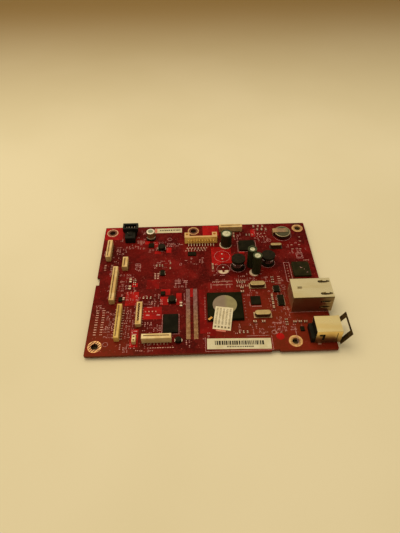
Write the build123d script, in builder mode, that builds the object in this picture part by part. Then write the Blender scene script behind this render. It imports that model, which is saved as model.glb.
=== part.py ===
"""Formatter board of a desktop printer, modelled in millimetres.

The origin is the middle of the board's underside. +X runs along the board to the edge with
the two jacks, +Y runs to the rear edge and +Z points up, away from the soldered side.
"""
import os
from build123d import *

os.makedirs("parts", exist_ok=True)

# ------------------------------------------------------------------ circuit board
board_length = 152.0
board_width = 116.0
board_thickness = 1.6
board_corner_radius = 0.8
side_notch_length = 7.0
side_notch_depth = 2.0
front_notch_length = 5.0
front_notch_depth = 1.0
mounting_hole_radius = 2.15
ring_radius = 4.2
ring_thickness = 0.06
plating_thickness = 0.1
board_top = board_thickness

# ------------------------------------------------------------------ soldered pins
tail_length = 1.5          # how far a pin stands out below the board
pin_width = 0.5
pin_hole_radius = 0.45
joint_radius = 0.85
joint_taper = 22.0         # degrees
joint_height = 0.8
joint_clearance = 0.03

# ------------------------------------------------------------------ network jack
network_jack_length = 25.5
network_jack_width = 16.5
network_jack_height = 13.4
network_jack_overhang = 1.7
network_shield_thickness = 0.25
shield_bend_radius = 0.4
shield_clearance = 0.05    # between a shield and the moulding inside it
finger_slot_length = 7.5
finger_slot_root = 1.0     # each slot is this wide at the mouth
finger_slot_width = 2.0    # and this wide at its rounded rear end
finger_width = 0.9
finger_bow = 1.0
finger_setback = 0.6       # from the mouth to the root of a finger
roof_finger_spacing = 10.2
wall_finger_heights = (3.7, 9.1)
lance_length = 3.0
lance_width = 1.0
lance_height = 0.5
lance_setback = 20.4       # from the mouth to the lance in the roof
lance_offset = 0.6         # the lance stands this far behind the jack's middle
tab_width = 1.4
tab_clearance = 0.2
network_tab_setback = 14.0
plug_cavity_width = 11.9
plug_cavity_height = 7.2
plug_cavity_depth = 13.5
plug_cavity_floor = 3.0
latch_groove_width = 6.2
latch_groove_depth = 1.5
wire_pitch = 1.02
wire_width = 0.45
wire_thickness = 0.3
wire_count = 8
wire_pocket_height = 0.9
wire_pocket_setback = 1.4
wire_droop = 2.4
network_pin_pitch = 2.04
network_pin_rows = 2.54
network_pin_setback = 20.5
network_pin_depth = 1.5    # how far a pin reaches up into the moulding
peg_radius = 1.6
peg_clearance = 0.05
peg_setback = 9.0
peg_spacing = 11.4
peg_length = 1.2           # how far a peg stands out below the board

# ------------------------------------------------------------------ USB jack
usb_jack_width = 12.0
usb_jack_height = 11.0
usb_jack_overhang = 1.5
usb_shell_length = 15.2
usb_shell_thickness = 0.3
usb_rear_block_length = 2.3
usb_rear_block_height = 4.4
usb_face_setback = 1.0     # from the mouth to the front of the moulding
usb_flap_length = 2.5
usb_flap_flare = 0.35
usb_flap_lift = 0.6        # air between the board and a flap
usb_flap_slot_width = 0.4
usb_flap_slot_margin = 1.2 # metal left above and below the slot behind each flap
usb_window_length = 3.5
usb_window_height = 5.7
usb_window_sill = 2.5
usb_window_setback = 9.9
usb_latch_width = 1.9      # a spring latch fills the window's lower rear corner
usb_latch_height = 3.9
usb_tab_setback = 11.2
usb_cavity_width = 8.45
usb_cavity_height = 7.8
usb_cavity_chamfer = 1.4
usb_cavity_depth = 9.5
usb_cavity_floor = 1.6
tongue_width = 5.6
tongue_height = 3.2
tongue_setback = 1.0
usb_contact_width = 1.0
usb_contact_thickness = 0.25
usb_contact_spacing = 2.5
usb_contact_length = 6.5
usb_pin_rows = 2.0
usb_pin_setback = 14.2
usb_pin_depth = 1.2

# ------------------------------------------------------------------ spring in front of the USB jack
spring_thickness = 0.3
spring_foot_length = 6.0
spring_foot_width = 10.4
spring_foot_clearance = 0.05
spring_reach = 5.5         # how far the frame leans out past its lower bend
spring_rise = 10.0
spring_bend_radius = 0.6
spring_near_arm_width = 3.5
spring_far_arm_width = 3.4
spring_width = 16.9
spring_offset = 0.75       # the frame's middle stands this far behind the jack's middle
spring_sill_height = 1.4
spring_head_height = 0.9

# ------------------------------------------------------------------ processor
processor_side = 23.0
substrate_thickness = 0.5
ball_height = 0.4
ball_radius = 0.33
ball_pitch = 1.27
balls_per_side = 17
centre_balls_per_side = 4
cap_side = 22.2
cap_thickness = 1.1
cap_chamfer = 0.25

# ------------------------------------------------------------------ labels
label_thickness = 0.1
round_label_radius = 7.8
paper_label_width = 11.3
paper_label_top_length = 11.3
paper_label_slope_length = 4.2
paper_label_foot_length = 0.9
paper_label_turn = -9.7
barcode_label_length = 38.7
barcode_label_width = 7.7
barcode_label_turn = -1.3
rear_label_length = 20.8
rear_label_width = 5.0

# ------------------------------------------------------------------ chips
chip_edge = 0.15
memory_length = 9.4
memory_width = 14.4
memory_thickness = 0.9
memory_balls_per_side = 9
memory_ball_pitch = 1.4
memory_ball_columns_apart = 6.4
network_chip_length = 11.6
network_chip_width = 13.6
network_chip_height = 1.4
network_chip_lead_count = 14
power_chip_length = 11.4
power_chip_width = 10.4
power_chip_height = 1.5
power_chip_lead_count = 11
lead_thickness = 0.15
lead_width = 0.3
lead_shoulder = 0.15
lead_reach = 0.65
lead_slope = 0.15
fine_lead_pitch = 0.8
small_lead_pitch = 1.27
filter_chip_length = 3.9
filter_chip_width = 8.6
filter_chip_gap = 2.6      # from the feet of its leads to the network jack
filter_capacitor_gap = 2.175    # from the feet of its leads to the column of capacitors beside it

# ------------------------------------------------------------------ crystals
crystal_can_length = 10.2
crystal_can_width = 3.9
crystal_height = 3.5
crystal_base_length = 11.4
crystal_base_width = 4.7
crystal_base_thickness = 0.6
slim_crystal_length = 8.0
slim_crystal_width = 2.6
crystal_top_radius = 0.4

# ------------------------------------------------------------------ capacitors
flat_can_radius = 3.1
flat_can_height = 6.0
flat_can_groove_height = 1.2
flat_can_groove_depth = 0.3
flat_base_side = 6.6
flat_base_thickness = 0.9
flat_base_chamfer = 1.3
flat_can_edge_radius = 0.4
slim_capacitor_radius = 3.15
slim_capacitor_height = 16.0
wide_capacitor_radius = 4.0
wide_capacitor_height = 10.8
sleeve_thickness = 0.15
sleeve_clearance = 0.02
sleeve_lip = 0.7
can_recess = 0.12          # the metal top lies this far below the sleeve's rolled lip
slim_lead_spacing = 2.5
wide_lead_spacing = 3.5

# ------------------------------------------------------------------ coils
drum_radius = 4.75
drum_flange = 1.7
drum_waist_radius = 2.6
winding_radius = 4.0
winding_clearance = 0.05
left_drum_height = 8.4
right_drum_height = 7.8
small_coil_base_thickness = 0.7
small_coil_base_chamfer = 0.8
small_coil_flange = 0.45
small_coil_waist = 0.3     # how far the waist stands in from the flanges
small_coil_edge = 0.25
terminal_thickness = 0.25
terminal_height = 0.6

# ------------------------------------------------------------------ backup cell
cell_radius = 6.0
cell_thickness = 2.5
cell_step_radius = 4.9
cell_step_height = 0.25
cell_edge_radius = 0.4
cell_lift = 1.0            # air between the board and the lower strap
strap_thickness = 0.2
strap_width = 4.4
strap_tail_width = 0.9
strap_offset = 0.9         # the upper strap's middle stands this far behind the cell's middle
strap_end = 4.2
strap_overhang = 1.3
strap_bend_radius = 0.4

# ------------------------------------------------------------------ sockets for flat cables and wires
socket_slit_width = 0.8
socket_slit_shift = 0.35   # a slit stands off its housing's middle, away from the first contact's foot
trough_width = 1.3
socket_lift = 0.35         # space for the contact feet below a housing
socket_foot_length = 1.2
contact_pitch = 1.0
contact_width = 0.35
contact_thickness = 0.2
contact_reach = 1.0        # how far a contact foot stands out past the housing
broad_contact_width = 0.6
broad_contact_reach = 1.5
contact_clearance = 0.05
socket_edge = 0.2
header_length = 23.9
header_depth = 5.5
header_height = 6.0
header_wall = 1.6
header_ear_width = 3.6
header_floor = 1.0
header_undercut = 1.45     # how far the space for the plug reaches in under each ear
header_shoulder = 4.6      # the ears overhang that space above this level
header_pin_pitch = 2.03
header_pin_count = 10
header_pin_height = 3.4
header_pin_foot = 3.4
header_pin_reach = 3.6
header_pin_clearance = 0.02
ear_hole_length = 1.8
ear_hole_width = 1.9
ear_hole_depth = 4.0
two_pin_length = 5.0
two_pin_width = 2.3
two_pin_height = 3.0
two_pin_pitch = 2.5
two_pin_hole = 1.1
two_pin_hole_depth = 2.0
black_socket_width = 11.2
black_socket_depth = 6.5
black_socket_height = 7.6
black_socket_foot_width = 8.5
black_socket_foot_height = 3.0
black_socket_taper_height = 1.8
black_step_width = 7.4
black_step_depth = 7.4
black_step_height = 5.0
black_latch_width = 3.2
black_latch_depth = 4.2
black_latch_height = 0.5
black_cavity_width = 8.6
black_cavity_depth = 3.4
black_cavity_floor = 2.4
black_pin_pitch = 2.0
black_pin_count = 4
black_pin_width = 0.6
black_pin_rise = 4.2

# ------------------------------------------------------------------ chip capacitors and resistors
capacitor_size = (2.0, 1.25)
capacitor_height = 1.1
large_capacitor_size = (3.2, 1.6)
resistor_size = (1.6, 0.8)
resistor_height = 0.45
end_cap_share = 0.22       # of a chip's length, at each end


def place(column, row):
    """A step of the layout grid, counted from the front left corner: 152 columns by 116 rows."""
    return Vector((column / 152 - 0.5) * board_length, (row / 116 - 0.5) * board_width)


def keep(piece, label):
    """Name a finished piece and write it to its own file."""
    piece.part.label = label
    export_step(piece.part, f"parts/{label}.step")


# Places on the board, in steps of the layout grid
mounting_holes = [
    place(5.7, 6.6), place(127.3, 6.6), place(5.7, 109.8), place(67.0, 109.8), place(146.3, 109.8)
]
side_notch_at = place(0.0, 60.0)
front_notch_at = place(114.5, 0.0)
processor_at = place(86.3, 34.5)
round_label_at = place(86.1, 35.0)
paper_label_at = place(83.0, 16.5)
barcode_label_at = place(92.95, 5.85)
rear_label_at = place(47.9, 111.0)
memory_at = place(51.3, 22.0)
network_chip_at = place(141.3, 66.0)
power_chip_at = place(105.9, 91.2)
flat_capacitor_at = place(35.3, 102.9)
wide_capacitor_at = place(90.9, 94.0)
slim_capacitors_at = [place(107.0, 71.6), place(109.8, 65.2)]
left_drum_at = place(97.6, 70.5)
right_drum_at = place(118.9, 73.9)
cell_at = place(133.6, 102.8)
header_at = place(72.45, 98.7)
two_pin_at = place(29.3, 10.0)
black_socket_at = place(20.1, 108.75)
spare_capacitor_holes = [place(87.3, 83.9), place(87.3, 78.9), place(87.3, 70.2), place(87.3, 66.6)]

# Places that follow the right-hand edge
network_mouth = board_length / 2 + network_jack_overhang
network_rear = network_mouth - network_jack_length
network_y = place(0, 37.25).Y
usb_mouth = board_length / 2 + usb_jack_overhang
usb_y = place(0, 10.7).Y


def row_of_pins(centre, count, pitch, along_x=True):
    """Evenly spaced places on a line through centre."""
    offsets = [(i - (count - 1) / 2) * pitch for i in range(count)]
    return [centre + (Vector(d, 0) if along_x else Vector(0, d)) for d in offsets]


network_pins = [
    place_of_pin
    for side in (-0.5, 0.5)
    for place_of_pin in row_of_pins(
        Vector(network_mouth - network_pin_setback + side * network_pin_rows, network_y),
        4, network_pin_pitch, False,
    )
]
network_pegs = row_of_pins(Vector(network_mouth - peg_setback, network_y), 2, peg_spacing, False)
network_tabs = row_of_pins(
    Vector(network_mouth - network_tab_setback, network_y),
    2, network_jack_width - network_shield_thickness, False,
)
usb_pins = [
    place_of_pin
    for side in (-0.5, 0.5)
    for place_of_pin in row_of_pins(
        Vector(usb_mouth - usb_pin_setback + side * usb_pin_rows, usb_y), 2, usb_contact_spacing, False
    )
]
usb_tabs = row_of_pins(
    Vector(usb_mouth - usb_tab_setback, usb_y), 2, usb_jack_width - usb_shell_thickness, False
)
wide_capacitor_leads = row_of_pins(wide_capacitor_at, 2, wide_lead_spacing)
slim_capacitor_leads = [lead for at in slim_capacitors_at for lead in row_of_pins(at, 2, slim_lead_spacing)]
capacitor_lead_places = wide_capacitor_leads + slim_capacitor_leads
two_pins = row_of_pins(two_pin_at, 2, two_pin_pitch, False)
black_pins = row_of_pins(black_socket_at, black_pin_count, black_pin_pitch)
upper_strap_tail = cell_at + Vector(-cell_radius - strap_overhang + strap_thickness / 2, strap_offset)
lower_strap_tail = cell_at + Vector(0, cell_radius + strap_overhang - strap_thickness / 2)
soldered_pins = network_pins + usb_pins + capacitor_lead_places + two_pins + black_pins

# ================================================================== circuit board
with BuildPart() as circuit_board:
    with BuildSketch():
        RectangleRounded(board_length, board_width, board_corner_radius)
        with Locations(side_notch_at):
            Rectangle(2 * side_notch_depth, side_notch_length, mode=Mode.SUBTRACT)
        with Locations(front_notch_at):
            Rectangle(front_notch_length, 2 * front_notch_depth, mode=Mode.SUBTRACT)
        with Locations(*mounting_holes):
            Circle(mounting_hole_radius + plating_thickness, mode=Mode.SUBTRACT)
        with Locations(*soldered_pins, *spare_capacitor_holes):
            Circle(pin_hole_radius, mode=Mode.SUBTRACT)
        with Locations(*network_pegs):
            Circle(peg_radius + peg_clearance, mode=Mode.SUBTRACT)
        with Locations(*network_tabs, *usb_tabs):
            Rectangle(tab_width + tab_clearance, usb_shell_thickness + 2 * tab_clearance, mode=Mode.SUBTRACT)
        with Locations(upper_strap_tail):
            Rectangle(strap_thickness + tab_clearance, strap_tail_width + tab_clearance, mode=Mode.SUBTRACT)
        with Locations(lower_strap_tail):
            Rectangle(strap_tail_width + tab_clearance, strap_thickness + tab_clearance, mode=Mode.SUBTRACT)
    extrude(amount=board_thickness)
keep(circuit_board, "circuit_board")

# A plated eyelet lines each mounting hole and spreads over both faces of the board
with BuildPart() as mounting_hole_rings:
    with BuildSketch(Plane.XY.offset(-ring_thickness)):
        with Locations(*mounting_holes):
            Circle(ring_radius)
            Circle(mounting_hole_radius, mode=Mode.SUBTRACT)
    extrude(amount=board_thickness + 2 * ring_thickness)
    with BuildSketch():
        with Locations(*mounting_holes):
            Circle(ring_radius + ring_thickness)
            Circle(mounting_hole_radius + plating_thickness, mode=Mode.SUBTRACT)
    extrude(amount=board_thickness, mode=Mode.SUBTRACT)
keep(mounting_hole_rings, "mounting_hole_rings")

# Each round joint is a hexagonal cone of solder on the underside, with the pin through it
with BuildPart() as solder_joints:
    with BuildSketch():
        with Locations(*soldered_pins):
            RegularPolygon(joint_radius, 6)
    extrude(amount=-joint_height, taper=joint_taper)
    with BuildSketch():
        with Locations(*soldered_pins):
            Rectangle(pin_width + 2 * joint_clearance, pin_width + 2 * joint_clearance)
    extrude(amount=-joint_height, mode=Mode.SUBTRACT)
keep(solder_joints, "solder_joints")


def side_face(x, y, z, outward=1):
    """A sketch plane that stands along X: its own x points outward and its own y points up."""
    return Plane(origin=(x, y, z), x_dir=(outward, 0, 0), z_dir=(0, -outward, 0))


def front_face(x, y, z, outward=1):
    """A sketch plane that stands along Y: its own x points outward and its own y points up."""
    return Plane(origin=(x, y, z), x_dir=(0, outward, 0), z_dir=(outward, 0, 0))


# ================================================================== network jack
network_middle = (network_mouth + network_rear) / 2
network_roof = board_top + network_jack_height
finger_root = network_mouth - finger_setback
finger_tip = finger_root - finger_slot_length
finger_middle = (finger_root + finger_tip) / 2
lance_x = network_mouth - lance_setback
lance_y = network_y + lance_offset


def spring_finger(thickness, length):
    """The outline of a lanced finger: rooted at the mouth, bowed outward, its free end dipping again."""
    third = length / 3
    with BuildLine() as outline:
        Polyline((0, 0), (-third, 0.8 * finger_bow), (-2 * third, finger_bow), (-length, finger_bow / 2))
        offset(amount=thickness, side=Side.RIGHT, kind=Kind.INTERSECTION)
    make_face(outline.edges())


def finger_slot():
    """A slot that is narrow at the mouth and widens towards its cut-off rear corners."""
    half = finger_slot_length / 2
    Polygon(
        (half, -finger_slot_root / 2),
        (half, finger_slot_root / 2),
        (finger_slot_width / 2 - half, finger_slot_width / 2),
        (-half, finger_slot_width / 4),
        (-half, -finger_slot_width / 4),
        (finger_slot_width / 2 - half, -finger_slot_width / 2),
        align=None,
    )


with BuildPart() as network_jack_shield:
    # A folded box of tinned sheet, open at the mouth and underneath
    with BuildSketch(Plane.XY.offset(board_top)):
        with Locations((network_middle, network_y)):
            Rectangle(network_jack_length, network_jack_width)
    extrude(amount=network_jack_height)
    fillet(network_jack_shield.edges().filter_by(Axis.X).group_by(Axis.Z)[-1], shield_bend_radius)
    with BuildSketch(Plane.XY.offset(board_top)):
        with Locations((network_middle + network_shield_thickness, network_y)):
            Rectangle(network_jack_length, network_jack_width - 2 * network_shield_thickness)
    extrude(amount=network_jack_height - network_shield_thickness, mode=Mode.SUBTRACT)
    # Slots for the fingers, in the roof and in both walls, and the slot of the rear lance
    with BuildSketch(Plane.XY.offset(network_roof)):
        with Locations(*row_of_pins(Vector(finger_middle, network_y), 2, roof_finger_spacing, False)):
            finger_slot()
        with Locations((lance_x, lance_y)):
            Rectangle(lance_length, lance_width)
    extrude(amount=-network_shield_thickness, mode=Mode.SUBTRACT)
    with BuildSketch(Plane.XZ.offset(-network_y)):
        with Locations(*[(finger_middle, board_top + height) for height in wall_finger_heights]):
            finger_slot()
    extrude(amount=network_jack_width, both=True, mode=Mode.SUBTRACT)
    # The fingers themselves
    roof_fingers = [
        side_face(finger_root, at.Y, network_roof - network_shield_thickness)
        for at in row_of_pins(Vector(finger_middle, network_y), 2, roof_finger_spacing, False)
    ]
    with BuildSketch(*roof_fingers):
        spring_finger(network_shield_thickness, finger_slot_length - finger_setback)
    extrude(amount=finger_width / 2, both=True)
    wall_inside = network_jack_width / 2 - network_shield_thickness
    wall_fingers = [
        Plane(
            origin=(finger_root, network_y + side * wall_inside, board_top + height),
            x_dir=(1, 0, 0),
            z_dir=(0, 0, side),
        )
        for side in (-1, 1)
        for height in wall_finger_heights
    ]
    with BuildSketch(*wall_fingers):
        spring_finger(network_shield_thickness, finger_slot_length - finger_setback)
    extrude(amount=finger_width / 2, both=True)
    # A tab turned up along the lance, and two legs that pass through the board
    with BuildSketch(Plane.XY.offset(network_roof - network_shield_thickness)):
        with Locations((lance_x, lance_y - (lance_width + network_shield_thickness) / 2)):
            Rectangle(lance_length, network_shield_thickness)
    extrude(amount=network_shield_thickness + lance_height)
    with BuildSketch(Plane.XY.offset(-tail_length)):
        with Locations(*network_tabs):
            Rectangle(tab_width, network_shield_thickness)
    extrude(amount=board_top + tail_length + network_shield_thickness)
keep(network_jack_shield, "network_jack_shield")

network_block_height = network_jack_height - network_shield_thickness - shield_clearance
network_block_width = network_jack_width - 2 * (network_shield_thickness + shield_clearance)
network_block_rear = network_rear + network_shield_thickness + shield_clearance
network_block_length = network_mouth - network_block_rear
cavity_floor = board_top + plug_cavity_floor
cavity_roof = cavity_floor + plug_cavity_height
wire_pocket_width = (wire_count - 1) * wire_pitch + 2 * wire_width
wire_pocket_length = plug_cavity_depth - wire_pocket_setback

with BuildPart() as network_jack_housing:
    with BuildSketch(Plane.XY.offset(board_top)):
        with Locations(((network_mouth + network_block_rear) / 2, network_y)):
            Rectangle(network_block_length, network_block_width)
    extrude(amount=network_block_height)
    chamfer(network_jack_housing.edges().filter_by(Axis.X).group_by(Axis.Z)[-1], shield_bend_radius)
    # The cavity for the plug, with the groove for its latch below and the pocket for the wires above
    with BuildSketch(Plane.YZ.offset(network_mouth)):
        with Locations((network_y, cavity_floor + plug_cavity_height / 2)):
            Rectangle(plug_cavity_width, plug_cavity_height)
        with Locations((network_y, cavity_floor)):
            Rectangle(latch_groove_width, 2 * latch_groove_depth)
    extrude(amount=-plug_cavity_depth, mode=Mode.SUBTRACT)
    with BuildSketch(Plane.YZ.offset(network_mouth - wire_pocket_setback)):
        with Locations((network_y, cavity_roof)):
            Rectangle(wire_pocket_width, 2 * wire_pocket_height)
    extrude(amount=-wire_pocket_length, mode=Mode.SUBTRACT)
    # Blind holes for the pins and two pegs that locate the jack on the board
    with BuildSketch(Plane.XY.offset(board_top)):
        with Locations(*network_pins):
            Rectangle(pin_width, pin_width)
    extrude(amount=network_pin_depth, mode=Mode.SUBTRACT)
    with BuildSketch(Plane.XY.offset(board_top)):
        with Locations(*network_pegs):
            Circle(peg_radius)
    extrude(amount=-board_thickness - peg_length)
keep(network_jack_housing, "network_jack_housing")

with BuildPart() as network_jack_contacts:
    # Each wire lies against the roof of its pocket and turns back down into the cavity
    wire_planes = [
        side_face(network_mouth - wire_pocket_setback, at.Y, cavity_roof + wire_pocket_height)
        for at in row_of_pins(Vector(0, network_y), wire_count, wire_pitch, False)
    ]
    wire_run = wire_pocket_length - 2 * wire_thickness
    with BuildSketch(*wire_planes):
        with BuildLine():
            Polyline(
                (-wire_run, 0),
                (-wire_thickness, 0),
                (-wire_thickness, -wire_pocket_height),
                (-wire_run + wire_droop / 2, -wire_pocket_height - wire_droop),
            )
            offset(amount=wire_thickness, side=Side.RIGHT, kind=Kind.INTERSECTION)
        make_face()
    extrude(amount=wire_width / 2, both=True)
    with BuildSketch(Plane.XY.offset(-tail_length)):
        with Locations(*network_pins):
            Rectangle(pin_width, pin_width)
    extrude(amount=tail_length + board_top + network_pin_depth)
keep(network_jack_contacts, "network_jack_contacts")

# ================================================================== USB jack
usb_shell_rear = usb_mouth - usb_shell_length
usb_shell_middle = (usb_mouth + usb_shell_rear) / 2
usb_flap_root = usb_mouth - usb_flap_length
usb_roof = board_top + usb_jack_height
usb_half_width = usb_jack_width / 2

with BuildPart() as usb_jack_shield:
    with BuildSketch(Plane.XY.offset(board_top)):
        with Locations((usb_shell_middle, usb_y)):
            Rectangle(usb_shell_length, usb_jack_width)
    extrude(amount=usb_jack_height)
    fillet(usb_jack_shield.edges().filter_by(Axis.X).group_by(Axis.Z)[-1], shield_bend_radius)
    with BuildSketch(Plane.XY.offset(board_top)):
        with Locations((usb_shell_middle, usb_y)):
            Rectangle(usb_shell_length + usb_shell_thickness, usb_jack_width - 2 * usb_shell_thickness)
    extrude(amount=usb_jack_height - usb_shell_thickness, mode=Mode.SUBTRACT)
    # A latch window in each wall: its lower rear corner is filled by the latch
    window_front = usb_mouth - usb_window_setback
    window_rear = window_front - usb_window_length
    window_foot = board_top + usb_window_sill
    with BuildSketch(Plane.XZ.offset(-usb_y)):
        Polygon(
            (window_rear + usb_latch_width, window_foot),
            (window_front, window_foot),
            (window_front, window_foot + usb_window_height),
            (window_rear, window_foot + usb_window_height),
            (window_rear, window_foot + usb_latch_height),
            (window_rear + usb_latch_width, window_foot + usb_latch_height),
            align=None,
        )
    extrude(amount=usb_jack_width, both=True, mode=Mode.SUBTRACT)
    # The walls end behind the mouth, where a flared flap goes on from each
    with BuildSketch(Plane.XZ.offset(-usb_y)):
        with Locations((usb_mouth, board_top)):
            Rectangle(2 * usb_flap_length, 2 * (usb_jack_height - shield_bend_radius))
    extrude(amount=usb_jack_width, both=True, mode=Mode.SUBTRACT)
    flap_height = usb_jack_height - shield_bend_radius - usb_flap_lift
    flap_foot = board_top + usb_flap_lift
    for side in (-1, 1):
        flap_place = (usb_flap_root, usb_y + side * (usb_half_width - usb_shell_thickness), flap_foot)
        with BuildSketch(Plane(origin=flap_place, x_dir=(1, 0, 0), z_dir=(0, 0, side))):
            with BuildLine():
                Polyline((-usb_shell_thickness, 0), (0, 0), (usb_flap_length, usb_flap_flare))
                offset(amount=usb_shell_thickness, side=Side.LEFT, kind=Kind.INTERSECTION)
            make_face()
        extrude(amount=side * flap_height)
    # A slot behind each flap lets it spring
    with BuildSketch(Plane.XZ.offset(-usb_y)):
        with Locations((usb_flap_root - usb_flap_slot_width / 2, flap_foot + flap_height / 2)):
            Rectangle(usb_flap_slot_width, flap_height - 2 * usb_flap_slot_margin)
    extrude(amount=usb_jack_width, both=True, mode=Mode.SUBTRACT)
    # Legs through the board
    with BuildSketch(Plane.XY.offset(-tail_length)):
        with Locations(*usb_tabs):
            Rectangle(tab_width, usb_shell_thickness)
    extrude(amount=board_top + tail_length + usb_shell_thickness)
keep(usb_jack_shield, "usb_jack_shield")

usb_block_width = usb_jack_width - 2 * (usb_shell_thickness + shield_clearance)
usb_block_height = usb_jack_height - usb_shell_thickness - shield_clearance
usb_block_rear = usb_shell_rear - usb_rear_block_length
usb_block_front = usb_mouth - usb_face_setback
usb_cavity_middle = board_top + usb_cavity_floor + usb_cavity_height / 2
tongue_tip = usb_block_front - tongue_setback
foot_recess = spring_thickness + spring_foot_clearance

with BuildPart() as usb_jack_housing:
    with BuildSketch(Plane.XY.offset(board_top)):
        with Locations(((usb_block_front + usb_block_rear) / 2, usb_y)):
            Rectangle(usb_block_front - usb_block_rear, usb_block_width)
    extrude(amount=usb_block_height)
    chamfer(usb_jack_housing.edges().filter_by(Axis.X).group_by(Axis.Z)[-1], shield_bend_radius)
    # The rear block stands out behind the shell as a low step
    with BuildSketch(Plane.XY.offset(board_top + usb_rear_block_height)):
        with Locations((usb_block_rear, usb_y)):
            Rectangle(2 * usb_rear_block_length, usb_jack_width)
    extrude(amount=usb_jack_height - usb_rear_block_height, mode=Mode.SUBTRACT)
    # The square cavity with its two upper corners cut off, and the tongue left standing in it
    with BuildSketch(Plane.YZ.offset(usb_block_front)) as usb_cavity:
        with Locations((usb_y, usb_cavity_middle)):
            Rectangle(usb_cavity_width, usb_cavity_height)
        chamfer(usb_cavity.vertices().group_by(Axis.Y)[-1], usb_cavity_chamfer)
    extrude(amount=-usb_cavity_depth, mode=Mode.SUBTRACT)
    with BuildSketch(Plane.YZ.offset(tongue_tip)):
        with Locations((usb_y, usb_cavity_middle)):
            Rectangle(tongue_width, tongue_height)
    extrude(amount=tongue_setback - usb_cavity_depth)
    # A shallow recess below for the foot of the ground spring, and blind holes for the pins
    with BuildSketch(Plane.XY.offset(board_top)):
        with Locations((usb_block_front, usb_y)):
            Rectangle(
                2 * (spring_foot_length - usb_face_setback + spring_foot_clearance),
                spring_foot_width + 2 * spring_foot_clearance,
            )
    extrude(amount=foot_recess, mode=Mode.SUBTRACT)
    with BuildSketch(Plane.XY.offset(board_top)):
        with Locations(*usb_pins):
            Rectangle(pin_width, pin_width)
    extrude(amount=usb_pin_depth, mode=Mode.SUBTRACT)
keep(usb_jack_housing, "usb_jack_housing")

with BuildPart() as usb_jack_contacts:
    contact_middle = tongue_tip - usb_contact_length / 2
    contact_places = row_of_pins(Vector(contact_middle, usb_y), 2, usb_contact_spacing, False)
    for side in (-1, 1):
        with BuildSketch(Plane.XY.offset(usb_cavity_middle + side * tongue_height / 2)):
            with Locations(*contact_places):
                Rectangle(usb_contact_length, usb_contact_width)
        extrude(amount=side * usb_contact_thickness)
    with BuildSketch(Plane.XY.offset(-tail_length)):
        with Locations(*usb_pins):
            Rectangle(pin_width, pin_width)
    extrude(amount=tail_length + board_top + usb_pin_depth)
keep(usb_jack_contacts, "usb_jack_contacts")

# A sheet spring: its foot is held under the jack and its frame leans out in front of the mouth
spring_y = usb_y + spring_offset
spring_front = spring_y - spring_width / 2
with BuildPart() as usb_ground_spring:
    with BuildSketch(side_face(usb_mouth, spring_y, board_top)):
        with BuildLine():
            FilletPolyline(
                (-spring_foot_length, 0),
                (0, 0),
                (spring_reach, spring_rise),
                radius=spring_bend_radius,
            )
            offset(amount=spring_thickness, side=Side.LEFT)
        make_face()
    extrude(amount=spring_width / 2, both=True)
    # The window between the two arms
    window_near = spring_front + spring_near_arm_width
    window_far = spring_front + spring_width - spring_far_arm_width
    with BuildSketch(Plane.YZ.offset(usb_mouth)):
        with Locations(((window_near + window_far) / 2, board_top + spring_sill_height)):
            Rectangle(
                window_far - window_near,
                spring_rise - spring_sill_height - spring_head_height,
                align=(Align.CENTER, Align.MIN),
            )
    extrude(amount=spring_reach, mode=Mode.SUBTRACT)
    # The foot is narrower than the frame
    with BuildSketch(Plane.XY.offset(board_top)):
        with Locations((usb_mouth, spring_y)):
            Rectangle(2 * spring_foot_length, 2 * spring_width)
        with Locations((usb_mouth, usb_y)):
            Rectangle(2 * spring_foot_length, spring_foot_width, mode=Mode.SUBTRACT)
        with Locations((usb_mouth - spring_foot_clearance, usb_y)):
            Rectangle(spring_foot_length + spring_reach, 2 * spring_width, align=(Align.MIN, Align.CENTER),
                      mode=Mode.SUBTRACT)
    extrude(amount=usb_jack_height, mode=Mode.SUBTRACT)
keep(usb_ground_spring, "usb_ground_spring")

# ================================================================== processor
substrate_bottom = board_top + ball_height
cap_bottom = substrate_bottom + substrate_thickness
cap_top = cap_bottom + cap_thickness

with BuildPart() as processor_substrate:
    with BuildSketch(Plane.XY.offset(substrate_bottom)):
        with Locations(processor_at):
            Rectangle(processor_side, processor_side)
    extrude(amount=substrate_thickness)
keep(processor_substrate, "processor_substrate")

with BuildPart() as processor_cap:
    with BuildSketch(Plane.XY.offset(cap_bottom)):
        with Locations(processor_at):
            Rectangle(cap_side, cap_side)
    extrude(amount=cap_thickness)
    chamfer(processor_cap.faces().sort_by(Axis.Z)[-1].edges(), cap_chamfer)
keep(processor_cap, "processor_cap")

memory_balls = [
    at
    for side in (-0.5, 0.5)
    for at in row_of_pins(
        memory_at + Vector(side * memory_ball_columns_apart, 0),
        memory_balls_per_side, memory_ball_pitch, False,
    )
]
# The processor has a ring of balls under its edge and a small square block of them under its middle
ball_ring = [
    at
    for row in row_of_pins(processor_at, balls_per_side, ball_pitch, False)
    for at in row_of_pins(row, balls_per_side, ball_pitch)
    if max(abs(at.X - processor_at.X), abs(at.Y - processor_at.Y)) > (balls_per_side - 2) / 2 * ball_pitch
]
ball_block = [
    at
    for row in row_of_pins(processor_at, centre_balls_per_side, ball_pitch, False)
    for at in row_of_pins(row, centre_balls_per_side, ball_pitch)
]
with BuildPart() as solder_balls:
    with BuildSketch(Plane.XY.offset(board_top)):
        with Locations(*ball_ring, *ball_block, *memory_balls):
            RegularPolygon(ball_radius, 6)
    extrude(amount=ball_height)
keep(solder_balls, "solder_balls")

with BuildPart() as processor_round_label:
    with BuildSketch(Plane.XY.offset(cap_top)):
        with Locations(round_label_at):
            Circle(round_label_radius)
    extrude(amount=label_thickness)
keep(processor_round_label, "processor_round_label")

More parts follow.
